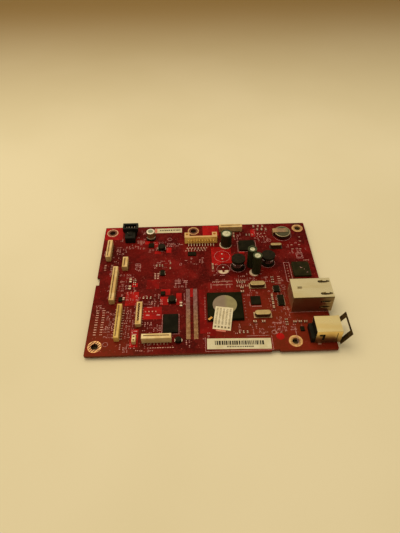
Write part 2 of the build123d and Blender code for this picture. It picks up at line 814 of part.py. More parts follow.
# The paper label lies across the round one, bends over the edge of the chip and ends on the board
with BuildPart() as processor_paper_label:
    label_rise = cap_top + label_thickness - board_top
    label_run = Vector(0, 1, 0).rotate(Axis.Z, paper_label_turn)
    label_foot = (paper_label_at.X, paper_label_at.Y, board_top)
    with BuildSketch(Plane(origin=label_foot, x_dir=label_run, z_dir=label_run.cross(Vector(0, 0, 1)))):
        with BuildLine():
            Polyline(
                (0, 0),
                (paper_label_foot_length, 0),
                (paper_label_foot_length + paper_label_slope_length, label_rise),
                (paper_label_foot_length + paper_label_slope_length + paper_label_top_length, label_rise),
            )
            offset(amount=label_thickness, side=Side.LEFT, kind=Kind.INTERSECTION)
        make_face()
    extrude(amount=paper_label_width / 2, both=True)
keep(processor_paper_label, "processor_paper_label")


# ================================================================== labels on the board
def board_label(at, length, width, turn):
    """A thin label stuck flat on the board."""
    with BuildPart() as label:
        with BuildSketch(Plane.XY.offset(board_top)):
            with Locations(Location((at.X, at.Y), turn)):
                Rectangle(length, width)
        extrude(amount=label_thickness)
    return label


barcode_label = board_label(barcode_label_at, barcode_label_length, barcode_label_width, barcode_label_turn)
rear_label = board_label(rear_label_at, rear_label_length, rear_label_width, 0)
keep(barcode_label, "barcode_label")
keep(rear_label, "rear_label")


# ================================================================== chips
def chip_block(at, length, width, height, lift=0.0):
    """A moulded chip body with its upper edges broken, added to the part being built."""
    with BuildPart(mode=Mode.PRIVATE) as block:
        with BuildSketch(Plane.XY.offset(board_top + lift)):
            with Locations(at):
                Rectangle(length, width)
        extrude(amount=height)
        chamfer(block.faces().sort_by(Axis.Z)[-1].edges(), chip_edge)
    add(block.part)


def gull_wing_leads(at, length, width, height, count, pitch):
    """Bent leads along the left and right sides of a chip, added to the part being built."""
    planes = [
        side_face(at.X + side * length / 2, spot.Y, board_top, side)
        for side in (-1, 1)
        for spot in row_of_pins(at, count, pitch, False)
    ]
    with BuildSketch(*planes) as profile:
        with BuildLine() as outline:
            Polyline(
                (0, height / 2), (lead_shoulder, height / 2),
                (lead_shoulder + lead_slope, 0), (lead_reach, 0),
            )
            offset(amount=lead_thickness, side=Side.LEFT, kind=Kind.INTERSECTION)
        make_face(outline.edges())
    extrude(profile.sketch, amount=lead_width / 2, both=True)


# Chips with leads on both sides: place, length, width, height, leads per side, pitch
leaded_chips = {
    "network_chip": (network_chip_at, network_chip_length, network_chip_width, network_chip_height,
                     network_chip_lead_count, fine_lead_pitch),
    "power_chip": (power_chip_at, power_chip_length, power_chip_width, power_chip_height,
                   power_chip_lead_count, fine_lead_pitch),
}
for name, (at, length, width, height, count, pitch) in leaded_chips.items():
    with BuildPart() as chip_body:
        chip_block(at, length, width, height)
    keep(chip_body, f"{name}_body")
    with BuildPart() as chip_leads:
        gull_wing_leads(at, length, width, height, count, pitch)
    keep(chip_leads, f"{name}_leads")

with BuildPart() as memory_chip:
    chip_block(memory_at, memory_length, memory_width, memory_thickness, ball_height)
keep(memory_chip, "memory_chip")

# Small packages with leads: place, length, width, height, leads per side
filter_chip_rear = network_rear - filter_chip_gap - 2 * lead_reach - filter_chip_length
filter_chip_at = Vector(filter_chip_rear + lead_reach + filter_chip_length / 2, place(0, 38.4).Y)
small_leaded_chips = [
    (place(121.5, 48.4), 3.9, 5.4, 1.4, 4),
    (filter_chip_at, filter_chip_length, filter_chip_width, 1.4, 7),
    (place(44.9, 66.0), 3.0, 4.8, 1.2, 3),
]
# Small packages without leads: place, length, width, height
small_flat_chips = [
    (place(106.6, 39.0), 6.4, 7.0, 0.9),
    (place(35.8, 94.5), 4.0, 4.0, 0.9),
    (place(65.6, 84.4), 6.0, 3.6, 1.0),
    (place(45.8, 47.4), 3.0, 3.0, 1.0),
    (place(132.8, 15.2), 2.4, 3.2, 1.0),
    (place(17.8, 43.0), 2.2, 3.6, 1.0),
]
with BuildPart() as small_chip_bodies:
    for at, length, width, height, count in small_leaded_chips:
        chip_block(at, length, width, height)
    for at, length, width, height in small_flat_chips:
        chip_block(at, length, width, height)
keep(small_chip_bodies, "small_chip_bodies")

with BuildPart() as small_chip_leads:
    for at, length, width, height, count in small_leaded_chips:
        gull_wing_leads(at, length, width, height, count, small_lead_pitch)
keep(small_chip_leads, "small_chip_leads")

# ================================================================== crystals
# Place, can length, can width
crystals = [
    (place(109.1, 51.7), crystal_can_length, crystal_can_width),
    (place(109.7, 26.8), crystal_can_length, crystal_can_width),
    (place(126.9, 89.2), slim_crystal_length, slim_crystal_width),
]
base_margin_x = crystal_base_length - crystal_can_length
base_margin_y = crystal_base_width - crystal_can_width

with BuildPart() as crystal_bases:
    for at, length, width in crystals:
        with BuildSketch(Plane.XY.offset(board_top)):
            with Locations(at):
                Rectangle(length + base_margin_x, width + base_margin_y)
        extrude(amount=crystal_base_thickness)
keep(crystal_bases, "crystal_bases")

with BuildPart() as crystal_cans:
    for at, length, width in crystals:
        with BuildSketch(Plane.XY.offset(board_top + crystal_base_thickness)):
            with Locations(at):
                SlotOverall(length, width)
        extrude(amount=crystal_height - crystal_base_thickness)
    fillet(crystal_cans.faces().group_by(Axis.Z)[-1].edges(), crystal_top_radius)
keep(crystal_cans, "crystal_cans")

# ================================================================== capacitors
with BuildPart() as flat_capacitor_base:
    with BuildSketch(Plane.XY.offset(board_top)) as flat_base:
        with Locations(flat_capacitor_at):
            Rectangle(flat_base_side, flat_base_side)
        chamfer(flat_base.vertices().group_by(Axis.Y)[0], flat_base_chamfer)
    extrude(amount=flat_base_thickness)
keep(flat_capacitor_base, "flat_capacitor_base")

with BuildPart() as flat_capacitor_can:
    can_foot = board_top + flat_base_thickness
    with BuildSketch(Plane.XZ.offset(-flat_capacitor_at.Y)):
        with Locations((flat_capacitor_at.X, can_foot)):
            Rectangle(flat_can_radius, flat_can_height, align=Align.MIN)
        with Locations((flat_capacitor_at.X + flat_can_radius, can_foot + flat_can_groove_height)):
            Circle(flat_can_groove_depth, mode=Mode.SUBTRACT)
    revolve(axis=Axis((flat_capacitor_at.X, flat_capacitor_at.Y, 0), (0, 0, 1)))
    fillet(flat_capacitor_can.faces().sort_by(Axis.Z)[-1].edges(), flat_can_edge_radius)
keep(flat_capacitor_can, "flat_capacitor_can")

# Radial cans in a printed sleeve: place, radius, height
tall_capacitors = [(wide_capacitor_at, wide_capacitor_radius, wide_capacitor_height)]
tall_capacitors += [(at, slim_capacitor_radius, slim_capacitor_height) for at in slim_capacitors_at]

with BuildPart() as tall_capacitor_sleeves:
    for at, radius, height in tall_capacitors:
        with BuildSketch(Plane.XY.offset(board_top)):
            with Locations(at):
                Circle(radius)
        extrude(amount=height)
        with BuildSketch(Plane.XY.offset(board_top)):
            with Locations(at):
                Circle(radius - sleeve_thickness)
        extrude(amount=height - sleeve_thickness, mode=Mode.SUBTRACT)
        with BuildSketch(Plane.XY.offset(board_top)):
            with Locations(at):
                Circle(radius - sleeve_lip)
        extrude(amount=height, mode=Mode.SUBTRACT)
keep(tall_capacitor_sleeves, "tall_capacitor_sleeves")

with BuildPart() as tall_capacitor_cans:
    for at, radius, height in tall_capacitors:
        with BuildSketch(Plane.XY.offset(board_top)):
            with Locations(at):
                Circle(radius - sleeve_thickness - sleeve_clearance)
        extrude(amount=height - can_recess - sleeve_thickness)
keep(tall_capacitor_cans, "tall_capacitor_cans")

with BuildPart() as capacitor_leads:
    with BuildSketch(Plane.XY.offset(-tail_length)):
        with Locations(*capacitor_lead_places):
            Rectangle(pin_width, pin_width)
    extrude(amount=tail_length + board_top)
keep(capacitor_leads, "capacitor_leads")

# ================================================================== coils
# Drum coils: place, height
drum_coils = [(left_drum_at, left_drum_height), (right_drum_at, right_drum_height)]

with BuildPart() as drum_cores:
    for at, height in drum_coils:
        with BuildSketch(Plane.XZ.offset(-at.Y)):
            with Locations((at.X, board_top)):
                Rectangle(drum_radius, height, align=Align.MIN)
            with Locations((at.X + drum_waist_radius, board_top + drum_flange)):
                Rectangle(drum_radius, height - 2 * drum_flange, align=Align.MIN, mode=Mode.SUBTRACT)
        revolve(axis=Axis((at.X, at.Y, 0), (0, 0, 1)))
keep(drum_cores, "drum_cores")

with BuildPart() as drum_windings:
    for at, height in drum_coils:
        winding_height = height - 2 * drum_flange - 2 * winding_clearance
        with BuildSketch(Plane.XY.offset(board_top + drum_flange + winding_clearance)):
            with Locations(at):
                Circle(winding_radius)
                Circle(drum_waist_radius + winding_clearance, mode=Mode.SUBTRACT)
        extrude(amount=winding_height)
keep(drum_windings, "drum_windings")

# Small coils, each a flanged drum on a square base: place, side of the base, height
moulded_coils = [(place(43.6, 91.2), 5.4, 2.8), (place(51.9, 41.0), 5.2, 2.8), (place(56.3, 9.3), 4.0, 2.0)]
with BuildPart() as moulded_coil_bodies:
    for at, side, height in moulded_coils:
        with BuildSketch(Plane.XY.offset(board_top)) as coil_base:
            with Locations(at):
                Rectangle(side, side)
            chamfer(coil_base.vertices(), small_coil_base_chamfer)
        extrude(coil_base.sketch, amount=small_coil_base_thickness)
        radius = side / 2
        waist = radius - small_coil_waist
        foot = board_top + small_coil_base_thickness
        head = board_top + height
        with BuildSketch(Plane.XZ.offset(-at.Y)) as coil_profile:
            with BuildLine() as coil_outline:
                Polyline(
                    (at.X, foot),
                    (at.X + radius, foot),
                    (at.X + radius, foot + small_coil_flange),
                    (at.X + waist, foot + small_coil_flange),
                    (at.X + waist, head - small_coil_flange - small_coil_edge),
                    (at.X + radius, head - small_coil_flange - small_coil_edge),
                    (at.X + radius, head - small_coil_edge),
                    (at.X + radius - small_coil_edge, head),
                    (at.X, head),
                    close=True,
                )
            make_face(coil_outline.edges())
        revolve(coil_profile.sketch, axis=Axis((at.X, at.Y, 0), (0, 0, 1)))
keep(moulded_coil_bodies, "moulded_coil_bodies")

with BuildPart() as moulded_coil_terminals:
    for at, side, height in moulded_coils:
        with BuildSketch(Plane.XY.offset(board_top)) as terminals:
            with Locations(*row_of_pins(at, 2, side + terminal_thickness)):
                Rectangle(terminal_thickness, side / 2)
        extrude(terminals.sketch, amount=terminal_height)
keep(moulded_coil_terminals, "moulded_coil_terminals")

# ================================================================== backup cell
cell_bottom = board_top + cell_lift + strap_thickness
cell_top = cell_bottom + cell_thickness

with BuildPart() as backup_cell:
    with BuildSketch(Plane.XY.offset(cell_bottom)):
        with Locations(cell_at):
            Circle(cell_radius)
    extrude(amount=cell_thickness - cell_step_height)
    fillet(backup_cell.faces().sort_by(Axis.Z)[-1].edges(), cell_edge_radius)
    with BuildSketch(Plane.XY.offset(cell_top - cell_step_height)):
        with Locations(cell_at):
            Circle(cell_step_radius)
    extrude(amount=cell_step_height)
keep(backup_cell, "backup_cell")

with BuildPart() as backup_cell_straps:
    # The upper strap runs over the cell and down past its left edge, and narrows to a tail
    strap_corner = -cell_radius - strap_overhang
    with BuildSketch(side_face(cell_at.X, cell_at.Y + strap_offset, cell_top)):
        with BuildLine():
            FilletPolyline(
                (strap_end, 0),
                (strap_corner + strap_thickness, 0),
                (strap_corner + strap_thickness, -cell_top - tail_length),
                radius=strap_bend_radius,
            )
            offset(amount=strap_thickness, side=Side.RIGHT)
        make_face()
    extrude(amount=strap_width / 2, both=True)
    # The lower strap lies under the cell and turns down behind it
    with BuildSketch(front_face(cell_at.X, cell_at.Y, cell_bottom)):
        with BuildLine():
            FilletPolyline(
                (-strap_end, 0),
                (-strap_corner, 0),
                (-strap_corner, -cell_bottom - tail_length),
                radius=strap_bend_radius,
            )
            offset(amount=strap_thickness, side=Side.RIGHT)
        make_face()
    extrude(amount=strap_width / 2, both=True)
    with BuildSketch(Plane.XY.offset(-tail_length)):
        with Locations(cell_at):
            Rectangle(4 * cell_radius, 4 * cell_radius)
        with Locations(upper_strap_tail):
            Rectangle(2 * strap_thickness, strap_tail_width, mode=Mode.SUBTRACT)
        with Locations(lower_strap_tail):
            Rectangle(strap_tail_width, 2 * strap_thickness, mode=Mode.SUBTRACT)
    extrude(amount=tail_length + board_top + cell_lift / 2, mode=Mode.SUBTRACT)
keep(backup_cell_straps, "backup_cell_straps")


# ================================================================== sockets for flat cables
def turned(at, x, y, along_x):
    """A place given along and across a socket, turned into the part's frame."""
    return at + (Vector(x, y) if along_x else Vector(-y, x))


def flat_cable_socket(
    name, at, length, width, height, along_x=False, both_sides=True, slit_width=socket_slit_width,
    slit_shift=socket_slit_shift, foot_width=contact_width, reach=contact_reach,
):
    """A slotted housing that stands on its two ends, and the bent contacts that stand in its slot."""
    slit_length = length - 2 * socket_foot_length
    count = int((slit_length - foot_width) / contact_pitch) + 1
    slit_turn = 0 if along_x else 90
    slit_at = turned(at, 0, slit_shift, along_x)
    with BuildPart() as housing:
        with BuildSketch(Plane.XY.offset(board_top)):
            with Locations(Location((at.X, at.Y), slit_turn)):
                Rectangle(length, width)
        extrude(amount=height)
        chamfer(housing.faces().sort_by(Axis.Z)[-1].edges(), socket_edge)
        with BuildSketch(Plane.XY.offset(board_top)):
            with Locations(Location((slit_at.X, slit_at.Y), slit_turn)):
                Rectangle(slit_length, slit_width)
        extrude(amount=height, mode=Mode.SUBTRACT)
        with BuildSketch(Plane.XY.offset(board_top)):
            with Locations(Location((at.X, at.Y), slit_turn)):
                Rectangle(slit_length, width)
        extrude(amount=socket_lift, mode=Mode.SUBTRACT)
    keep(housing, f"{name}_housing")
    # Each foot lies on the board and turns up against the wall of the slot, to one side and the other
    with BuildPart() as contacts:
        for side in (1, -1) if both_sides else (1,):
            outward = Vector(0, -side) if along_x else Vector(side, 0)
            planes = []
            for i in range(count):
                if both_sides and i % 2 == (0 if side == -1 else 1):
                    continue
                spot = turned(at, (i - (count - 1) / 2) * contact_pitch, 0, along_x)
                along = outward.cross(Vector(0, 0, 1))
                planes.append(Plane(origin=(spot.X, spot.Y, board_top), x_dir=outward, z_dir=along))
            stem = slit_width / 2 - contact_clearance - side * slit_shift
            with BuildSketch(*planes) as profile:
                with BuildLine() as outline:
                    Polyline((width / 2 + reach, 0), (stem - contact_thickness, 0),
                             (stem - contact_thickness, height - socket_lift))
                    offset(amount=contact_thickness, side=Side.RIGHT, kind=Kind.INTERSECTION)
                make_face(outline.edges())
            extrude(profile.sketch, amount=foot_width / 2, both=True)
    keep(contacts, f"{name}_contacts")


flat_cable_socket("corner_socket", place(6.0, 88.4), 17.9, 3.4, 4.6)
flat_cable_socket("short_socket", place(18.6, 74.7), 10.1, 3.6, 4.1)
flat_cable_socket("long_socket", place(12.6, 54.9), 30.7, 3.3, 4.3)
flat_cable_socket("pin_row_socket", place(18.6, 23.2), 26.5, 3.1, 4.2, foot_width=broad_contact_width,
                  reach=broad_contact_reach)
flat_cable_socket("trough_socket", place(31.1, 29.6), 18.3, 3.6, 3.0, slit_width=trough_width,
                  slit_shift=socket_slit_shift / 2)
flat_cable_socket("front_socket", place(43.1, 9.9), 18.0, 3.7, 4.9, along_x=True,
                  foot_width=broad_contact_width, reach=broad_contact_reach)
flat_cable_socket("rear_socket", place(95.2, 109.6), 17.2, 3.6, 4.7, along_x=True, both_sides=False)

# ================================================================== ten-pin header
header_front = header_at.Y - header_depth / 2
header_pin_places = row_of_pins(header_at, header_pin_count, header_pin_pitch)
header_pin_level = board_top + header_pin_height
header_ears = row_of_pins(header_at, 2, header_length - header_ear_width)
header_plug_space = header_length - 2 * header_ear_width

with BuildPart() as ten_pin_header_housing:
    with BuildSketch(Plane.XY.offset(board_top)):
        with Locations(header_at):
            Rectangle(header_length, header_depth)
    extrude(amount=header_height)
    # The space for the plug, open above and to the rear
    with BuildSketch(Plane.XY.offset(board_top + header_floor)):
        with Locations((header_at.X, header_front + header_wall)):
            Rectangle(header_plug_space, header_depth, align=(Align.CENTER, Align.MIN))
    extrude(amount=header_height, mode=Mode.SUBTRACT)
    # Below its mouth that space is wider, under the two ears
    with BuildSketch(Plane.XY.offset(board_top + header_floor)):
        with Locations((header_at.X, header_front + header_wall)):
            Rectangle(header_plug_space + 2 * header_undercut, header_depth, align=(Align.CENTER, Align.MIN))
    extrude(amount=header_shoulder - header_floor, mode=Mode.SUBTRACT)
    with BuildSketch(Plane.XY.offset(board_top + header_height)):
        with Locations(*[ear + Vector(0, header_wall / 2) for ear in header_ears]):
            Rectangle(ear_hole_length, ear_hole_width)
    extrude(amount=-ear_hole_depth, mode=Mode.SUBTRACT)
    # Holes through the front wall for the pins
    with BuildSketch(Plane.XZ.offset(-header_front)):
        with Locations(*[(at.X, header_pin_level) for at in header_pin_places]):
            Rectangle(pin_width + 2 * header_pin_clearance, pin_width + 2 * header_pin_clearance)
    extrude(amount=-header_wall, mode=Mode.SUBTRACT)
keep(ten_pin_header_housing, "ten_pin_header_housing")

with BuildPart() as ten_pin_header_pins:
    header_planes = [front_face(at.X, header_front, board_top) for at in header_pin_places]
    with BuildSketch(*header_planes):
        with BuildLine():
            Polyline(
                (-header_pin_foot, 0),
                (-pin_width - contact_clearance - pin_width, 0),
                (-pin_width - contact_clearance - pin_width, header_pin_height - pin_width / 2),
                (header_pin_reach + header_wall - header_depth / 2, header_pin_height - pin_width / 2),
            )
            offset(amount=pin_width, side=Side.LEFT, kind=Kind.INTERSECTION)
        make_face()
    extrude(amount=pin_width / 2, both=True)
keep(ten_pin_header_pins, "ten_pin_header_pins")

# ================================================================== two-pin socket
with BuildPart() as two_pin_socket_housing:
    with BuildSketch(Plane.XY.offset(board_top)):
        with Locations(two_pin_at):
            Rectangle(two_pin_width, two_pin_length)
    extrude(amount=two_pin_height)
    chamfer(two_pin_socket_housing.faces().sort_by(Axis.Z)[-1].edges(), socket_edge)
    with BuildSketch(Plane.XY.offset(board_top + two_pin_height)):
        with Locations(*two_pins):
            Rectangle(two_pin_hole, two_pin_hole)
    extrude(amount=-two_pin_hole_depth, mode=Mode.SUBTRACT)
    with BuildSketch(Plane.XY.offset(board_top)):
        with Locations(*two_pins):
            Rectangle(pin_width, pin_width)
    extrude(amount=two_pin_height, mode=Mode.SUBTRACT)
keep(two_pin_socket_housing, "two_pin_socket_housing")

with BuildPart() as two_pin_socket_pins:
    with BuildSketch(Plane.XY.offset(-tail_length)):
        with Locations(*two_pins):
            Rectangle(pin_width, pin_width)
    extrude(amount=tail_length + board_top + two_pin_height - two_pin_hole_depth / 2)
keep(two_pin_socket_pins, "two_pin_socket_pins")

# ================================================================== black socket
black_front = black_socket_at.Y - black_socket_depth / 2
black_roof = board_top + black_socket_height
black_cavity_base = board_top + black_cavity_floor

with BuildPart() as black_socket_housing:
    # The tall block stands on a narrower foot and widens above it
    taper_foot = black_socket_foot_height
    taper_head = black_socket_foot_height + black_socket_taper_height
    foot_half = black_socket_foot_width / 2
    head_half = black_socket_width / 2
    with BuildSketch(side_face(black_socket_at.X, black_socket_at.Y, board_top)):
        with BuildLine():
            Polyline(
                (-foot_half, 0),
                (foot_half, 0),
                (foot_half, taper_foot),
                (head_half, taper_head),
                (head_half, black_socket_height),
                (-head_half, black_socket_height),
                (-head_half, taper_head),
                (-foot_half, taper_foot),
                close=True,
            )
        make_face()
    extrude(amount=black_socket_depth / 2, both=True)
    with BuildSketch(Plane.XY.offset(black_roof)):
        with Locations(black_socket_at):
            Rectangle(black_cavity_width, black_cavity_depth)
    extrude(amount=black_cavity_floor - black_socket_height, mode=Mode.SUBTRACT)
    # The lower step in front, with the latch on it
    with BuildSketch(Plane.XY.offset(board_top)):
        with Locations((black_socket_at.X, black_front)):
            Rectangle(black_step_width, black_step_depth, align=(Align.CENTER, Align.MAX))
    extrude(amount=black_step_height)
    with BuildSketch(Plane.XY.offset(board_top + black_step_height)):
        with Locations((black_socket_at.X, black_front)):
            Rectangle(black_latch_width, black_latch_depth, align=(Align.CENTER, Align.MAX))
    extrude(amount=black_latch_height)
    with BuildSketch(Plane.XY.offset(board_top)):
        with Locations(*black_pins):
            Rectangle(pin_width, pin_width)
    extrude(amount=black_socket_height, mode=Mode.SUBTRACT)
keep(black_socket_housing, "black_socket_housing")

with BuildPart() as black_socket_pins:
    with BuildSketch(Plane.XY.offset(-tail_length)):
        with Locations(*black_pins):
            Rectangle(pin_width, pin_width)
    extrude(amount=tail_length + board_top + black_cavity_floor + black_pin_rise)
keep(black_socket_pins, "black_socket_pins")


# ================================================================== chip capacitors and resistors
def small_blocks(places, size, height, across):
    """Blocks on the board for each chip, at the distances across from its middle along its long side."""
    with BuildSketch(Plane.XY.offset(board_top)) as outlines:
        with Locations(*[Location((at.X, at.Y), 90 if turned_up else 0) for at, turned_up in places]):
            with Locations(*[(shift, 0) for shift in across]):
                Rectangle(*size)
    extrude(outlines.sketch, amount=height)


def chip_bodies(places, size, height):
    """The ceramic between the two end caps of each chip."""
    small_blocks(places, (size[0] * (1 - 2 * end_cap_share), size[1]), height, (0,))


def chip_caps(places, size, height):
    """The two tinned end caps of each chip."""
    cap_middle = size[0] * (1 - end_cap_share) / 2
    small_blocks(places, (size[0] * end_cap_share, size[1]), height, (-cap_middle, cap_middle))


filter_capacitor_column = filter_chip_rear - filter_capacitor_gap - capacitor_size[1] / 2
# Each place is followed by True where the chip lies along Y
large_capacitor_places = [(place(23.3, 59.4), True), (place(23.3, 53.0), True), (place(57.8, 37.2), True)]
capacitor_places = (
    [(place(20.0, 43.2), True), (place(80.0, 72.6), True), (place(80.0, 69.2), True)]
    + [(place(113.0 + 3.4 * i, 112.4), True) for i in range(3)]
    + [(place(115.6 + 3.2 * i, 108.8), True) for i in range(3)]
    + [(place(98.6, 50.2 - 3.4 * i), False) for i in range(2)]
    + [(place(104.2 + 5.4 * i, 21.6), False) for i in range(2)]
    + [(Vector(filter_capacitor_column, place(0, 33.0 + 3.2 * i).Y), True) for i in range(4)]
    + [(place(129.0 + 3.4 * i, 20.6), False) for i in range(3)]
    + [(place(97.2, 101.6 + 3.2 * i), True) for i in range(2)]
)
resistor_places = (
    [(place(50.2, 75.6), True), (place(50.2, 70.8), True)]
    + [(place(40.6 + 2.0 * i, 73.6), True) for i in range(3)]
    + [(place(33.0 + 2.4 * i, 44.0), True) for i in range(3)]
    + [(place(63.0 + 2.4 * i, 89.6), True) for i in range(6)]
    + [(place(96.0 + 1.6 * i, 55.6), True) for i in range(4)]
    + [(place(106.8 + 2.2 * i, 103.6), True) for i in range(3)]
    + [(place(120.0, 55.0 + 2.2 * i), False) for i in range(3)]
    + [(place(124.0, 19.0 + 2.0 * i), False) for i in range(3)]
    + [(place(94.0 + 2.4 * i, 14.2), True) for i in range(3)]
    + [(place(26.2, 56.0 + 2.0 * i), False) for i in range(3)]
)
with BuildPart() as chip_capacitors:
    chip_bodies(large_capacitor_places, large_capacitor_size, capacitor_height)
    chip_bodies(capacitor_places, capacitor_size, capacitor_height)
keep(chip_capacitors, "chip_capacitors")

with BuildPart() as chip_resistors:
    chip_bodies(resistor_places, resistor_size, resistor_height)
keep(chip_resistors, "chip_resistors")

with BuildPart() as chip_end_caps:
    chip_caps(large_capacitor_places, large_capacitor_size, capacitor_height)
    chip_caps(capacitor_places, capacitor_size, capacitor_height)
    chip_caps(resistor_places, resistor_size, resistor_height)
keep(chip_end_caps, "chip_end_caps")
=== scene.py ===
# %% [markdown]
# # Dressing a printer's formatter board
#
# The board arrives from CAD as separate solids in real metres. This lesson gives every solid its finish and adds
# what is too thin or too fine for CAD, such as printed lines, bare pads, copper wire and solder. We load the CAD
# frame first, because every later place is worked out from it.

# %% Load the CAD frame
import math
import random

import bpy
from mathutils import Matrix, Vector


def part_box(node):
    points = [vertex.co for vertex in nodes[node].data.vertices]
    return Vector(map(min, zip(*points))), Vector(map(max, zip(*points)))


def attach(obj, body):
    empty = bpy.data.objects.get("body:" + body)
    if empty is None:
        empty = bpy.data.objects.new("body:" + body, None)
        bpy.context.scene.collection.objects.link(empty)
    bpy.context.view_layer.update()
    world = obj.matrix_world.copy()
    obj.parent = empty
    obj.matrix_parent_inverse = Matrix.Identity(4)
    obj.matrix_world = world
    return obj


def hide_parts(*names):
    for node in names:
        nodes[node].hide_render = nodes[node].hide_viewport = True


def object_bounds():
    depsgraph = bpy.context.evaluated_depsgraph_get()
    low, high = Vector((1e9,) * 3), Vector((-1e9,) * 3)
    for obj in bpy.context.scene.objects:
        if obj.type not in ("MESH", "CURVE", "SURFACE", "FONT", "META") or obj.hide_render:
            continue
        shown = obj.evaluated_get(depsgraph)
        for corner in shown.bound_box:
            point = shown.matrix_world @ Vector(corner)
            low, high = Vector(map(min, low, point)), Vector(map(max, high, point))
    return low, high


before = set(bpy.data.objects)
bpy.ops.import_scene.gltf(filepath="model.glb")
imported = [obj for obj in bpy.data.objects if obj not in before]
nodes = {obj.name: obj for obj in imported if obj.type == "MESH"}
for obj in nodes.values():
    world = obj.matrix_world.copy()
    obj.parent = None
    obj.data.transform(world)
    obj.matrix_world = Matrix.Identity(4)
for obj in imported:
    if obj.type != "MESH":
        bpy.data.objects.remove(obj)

scene = bpy.context.scene
cad_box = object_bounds()
print("CAD nodes:", len(nodes))

# %% [markdown]
# This board is laid out on a grid of 152 columns and 116 rows, one to a millimetre, counted from the front left
# corner. We could type places in metres, but a grid that is stretched over the CAD board keeps our prints under
# their parts if the board is ever made in another size.

# %% The layout grid
MM = 0.001
board_low, board_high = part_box("circuit_board")
board_top = board_high.z
column_step = (board_high.x - board_low.x) / 152
row_step = (board_high.y - board_low.y) / 116


def place(column, row, level=0.0):
    """A point of the layout grid, level metres above the board."""
    return Vector((board_low.x + column * column_step, board_low.y + row * row_step, board_top + level))


def middle(node):
    """The middle of a CAD node's box."""
    low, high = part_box(node)
    return (low + high) / 2


mounting_holes = [place(5.7, 6.6), place(127.3, 6.6), place(5.7, 109.8), place(67.0, 109.8), place(146.3, 109.8)]
print("board in mm:", [round(side / MM, 1) for side in board_high - board_low])

# %% [markdown]
# ## Finishes
#
# A finish is a Principled shader with a few nodes before it. Numbers that are the same all over the surface are
# set on the shader's own sockets, and only colour, roughness and bump come through nodes. One finish at a time lies
# on the bench, and each helper adds its nodes to that one. The board lies in warm light, so what isn't metal gets a
# warm tint for its glints.

# %% The bench and its nodes
WARM_GLINT = (1.0, 0.78, 0.42, 1.0)
finishes, bench = {}, []


def paint(tone):
    """A tone as a painter's chart gives it, 0 to 255, made linear. A node's output passes through."""
    def linear(value):
        value = value / 255
        return value / 12.92 if value <= 0.04045 else ((value + 0.055) / 1.055) ** 2.4
    return (*map(linear, tone), 1.0) if isinstance(tone, tuple) else tone


def take_up(name):
    """Put a finish on the bench. Returns its node tree and shader."""
    bench[:] = [finishes[name].node_tree, finishes[name].node_tree.nodes["Principled BSDF"]]
    return bench


def start(name, roughness, metallic=0.0, specular=0.5):
    """Put a new finish on the bench, with its plain numbers on the shader's own sockets."""
    finishes[name] = bpy.data.materials.new(name)
    finishes[name].use_nodes = True
    shader = take_up(name)[1]
    plain = {"Roughness": roughness, "Metallic": metallic, "Specular IOR Level": specular}
    if metallic < 0.5:
        plain["Specular Tint"] = WARM_GLINT
    for socket, value in plain.items():
        shader.inputs[socket].default_value = value


def node(kind, inputs, output=0, **settings):
    """Add a node and return an output. Each input takes a plain value or another node's output."""
    tree = bench[0]
    added = tree.nodes.new("ShaderNode" + kind)
    for key, value in settings.items():
        setattr(added, key, value)
    for key, value in inputs.items():
        if isinstance(value, bpy.types.NodeSocket):
            tree.links.new(value, added.inputs[key])
        else:
            added.inputs[key].default_value = value
    return added.outputs[output]


def drive(socket, output):
    """Link an output to one of the shader's sockets."""
    tree, shader = bench
    tree.links.new(output, shader.inputs[socket])


def reckon(operation, first, *others):
    """Arithmetic on two values, or on more of them in turn."""
    for other in others or (0.0,):
        first = node("Math", {0: first, 1: other}, operation=operation)
    return first


def times(*values):
    """The product of the values."""
    return reckon("MULTIPLY", *values)


def below(value, limit):
    """1 where the value is below the limit, and 0 elsewhere."""
    return reckon("LESS_THAN", value, limit)


def above(value, limit):
    """1 where the value is above the limit, and 0 elsewhere."""
    return reckon("GREATER_THAN", value, limit)


def soft_step(value, low, high):
    """0 below low, 1 above high, and a smooth ramp between."""
    return node("MapRange", {"Value": value, "From Min": low, "From Max": high}, interpolation_type="SMOOTHSTEP")


print("bench ready")

# %% [markdown]
# ### Where on the object
#
# A pattern asks for its place, for the distance from an upright axis, or for the way the surface looks. An image
# would need a map for this. Object coordinates need none, and they hold still when the camera moves.

# %% Places and directions
def spot_on(centre=(0.0, 0.0, 0.0), turn=0.0, scale=(1.0, 1.0, 1.0)):
    """Object coordinates, moved so that centre is zero, turned about Z and stretched."""
    moved = node("VectorMath", {0: node("TexCoord", {}, "Object"), 1: centre}, operation="SUBTRACT")
    return node("Mapping", {"Vector": moved, "Rotation": (0, 0, turn), "Scale": scale})


def measure(vector, axis):
    """One of a vector's three numbers."""
    return node("SeparateXYZ", {"Vector": vector}, axis)


def from_axis(centre):
    """The distance from an upright axis through centre."""
    flat = spot_on((centre.x, centre.y, 0.0), scale=(1.0, 1.0, 0.0))
    return node("VectorMath", {0: flat}, "Value", operation="LENGTH")


def nearest_axis(centres):
    """The distance from the nearest of some upright axes."""
    return reckon("MINIMUM", *map(from_axis, centres))


def looking(axis):
    """How far the surface looks along an axis, from -1 to 1."""
    return measure(node("NewGeometry", {}, "Normal"), axis)


def inside(vector, length, width):
    """1 inside a box of that length and width about zero, and 0 outside."""
    size = node("VectorMath", {0: vector}, operation="ABSOLUTE")
    return times(below(measure(size, "X"), length / 2), below(measure(size, "Y"), width / 2))


print("places and directions ready")

# %% [markdown]
# ### Clouds, grains and tints
#
# Real surfaces drift between tones and have a fine grain. A cloud is soft noise, a grain is noise that drives a
# bump, and a tint lays a tone over the colour so far. Nearly every finish is a cloud between two tones over a grain,
# so that recipe is a function of its own.

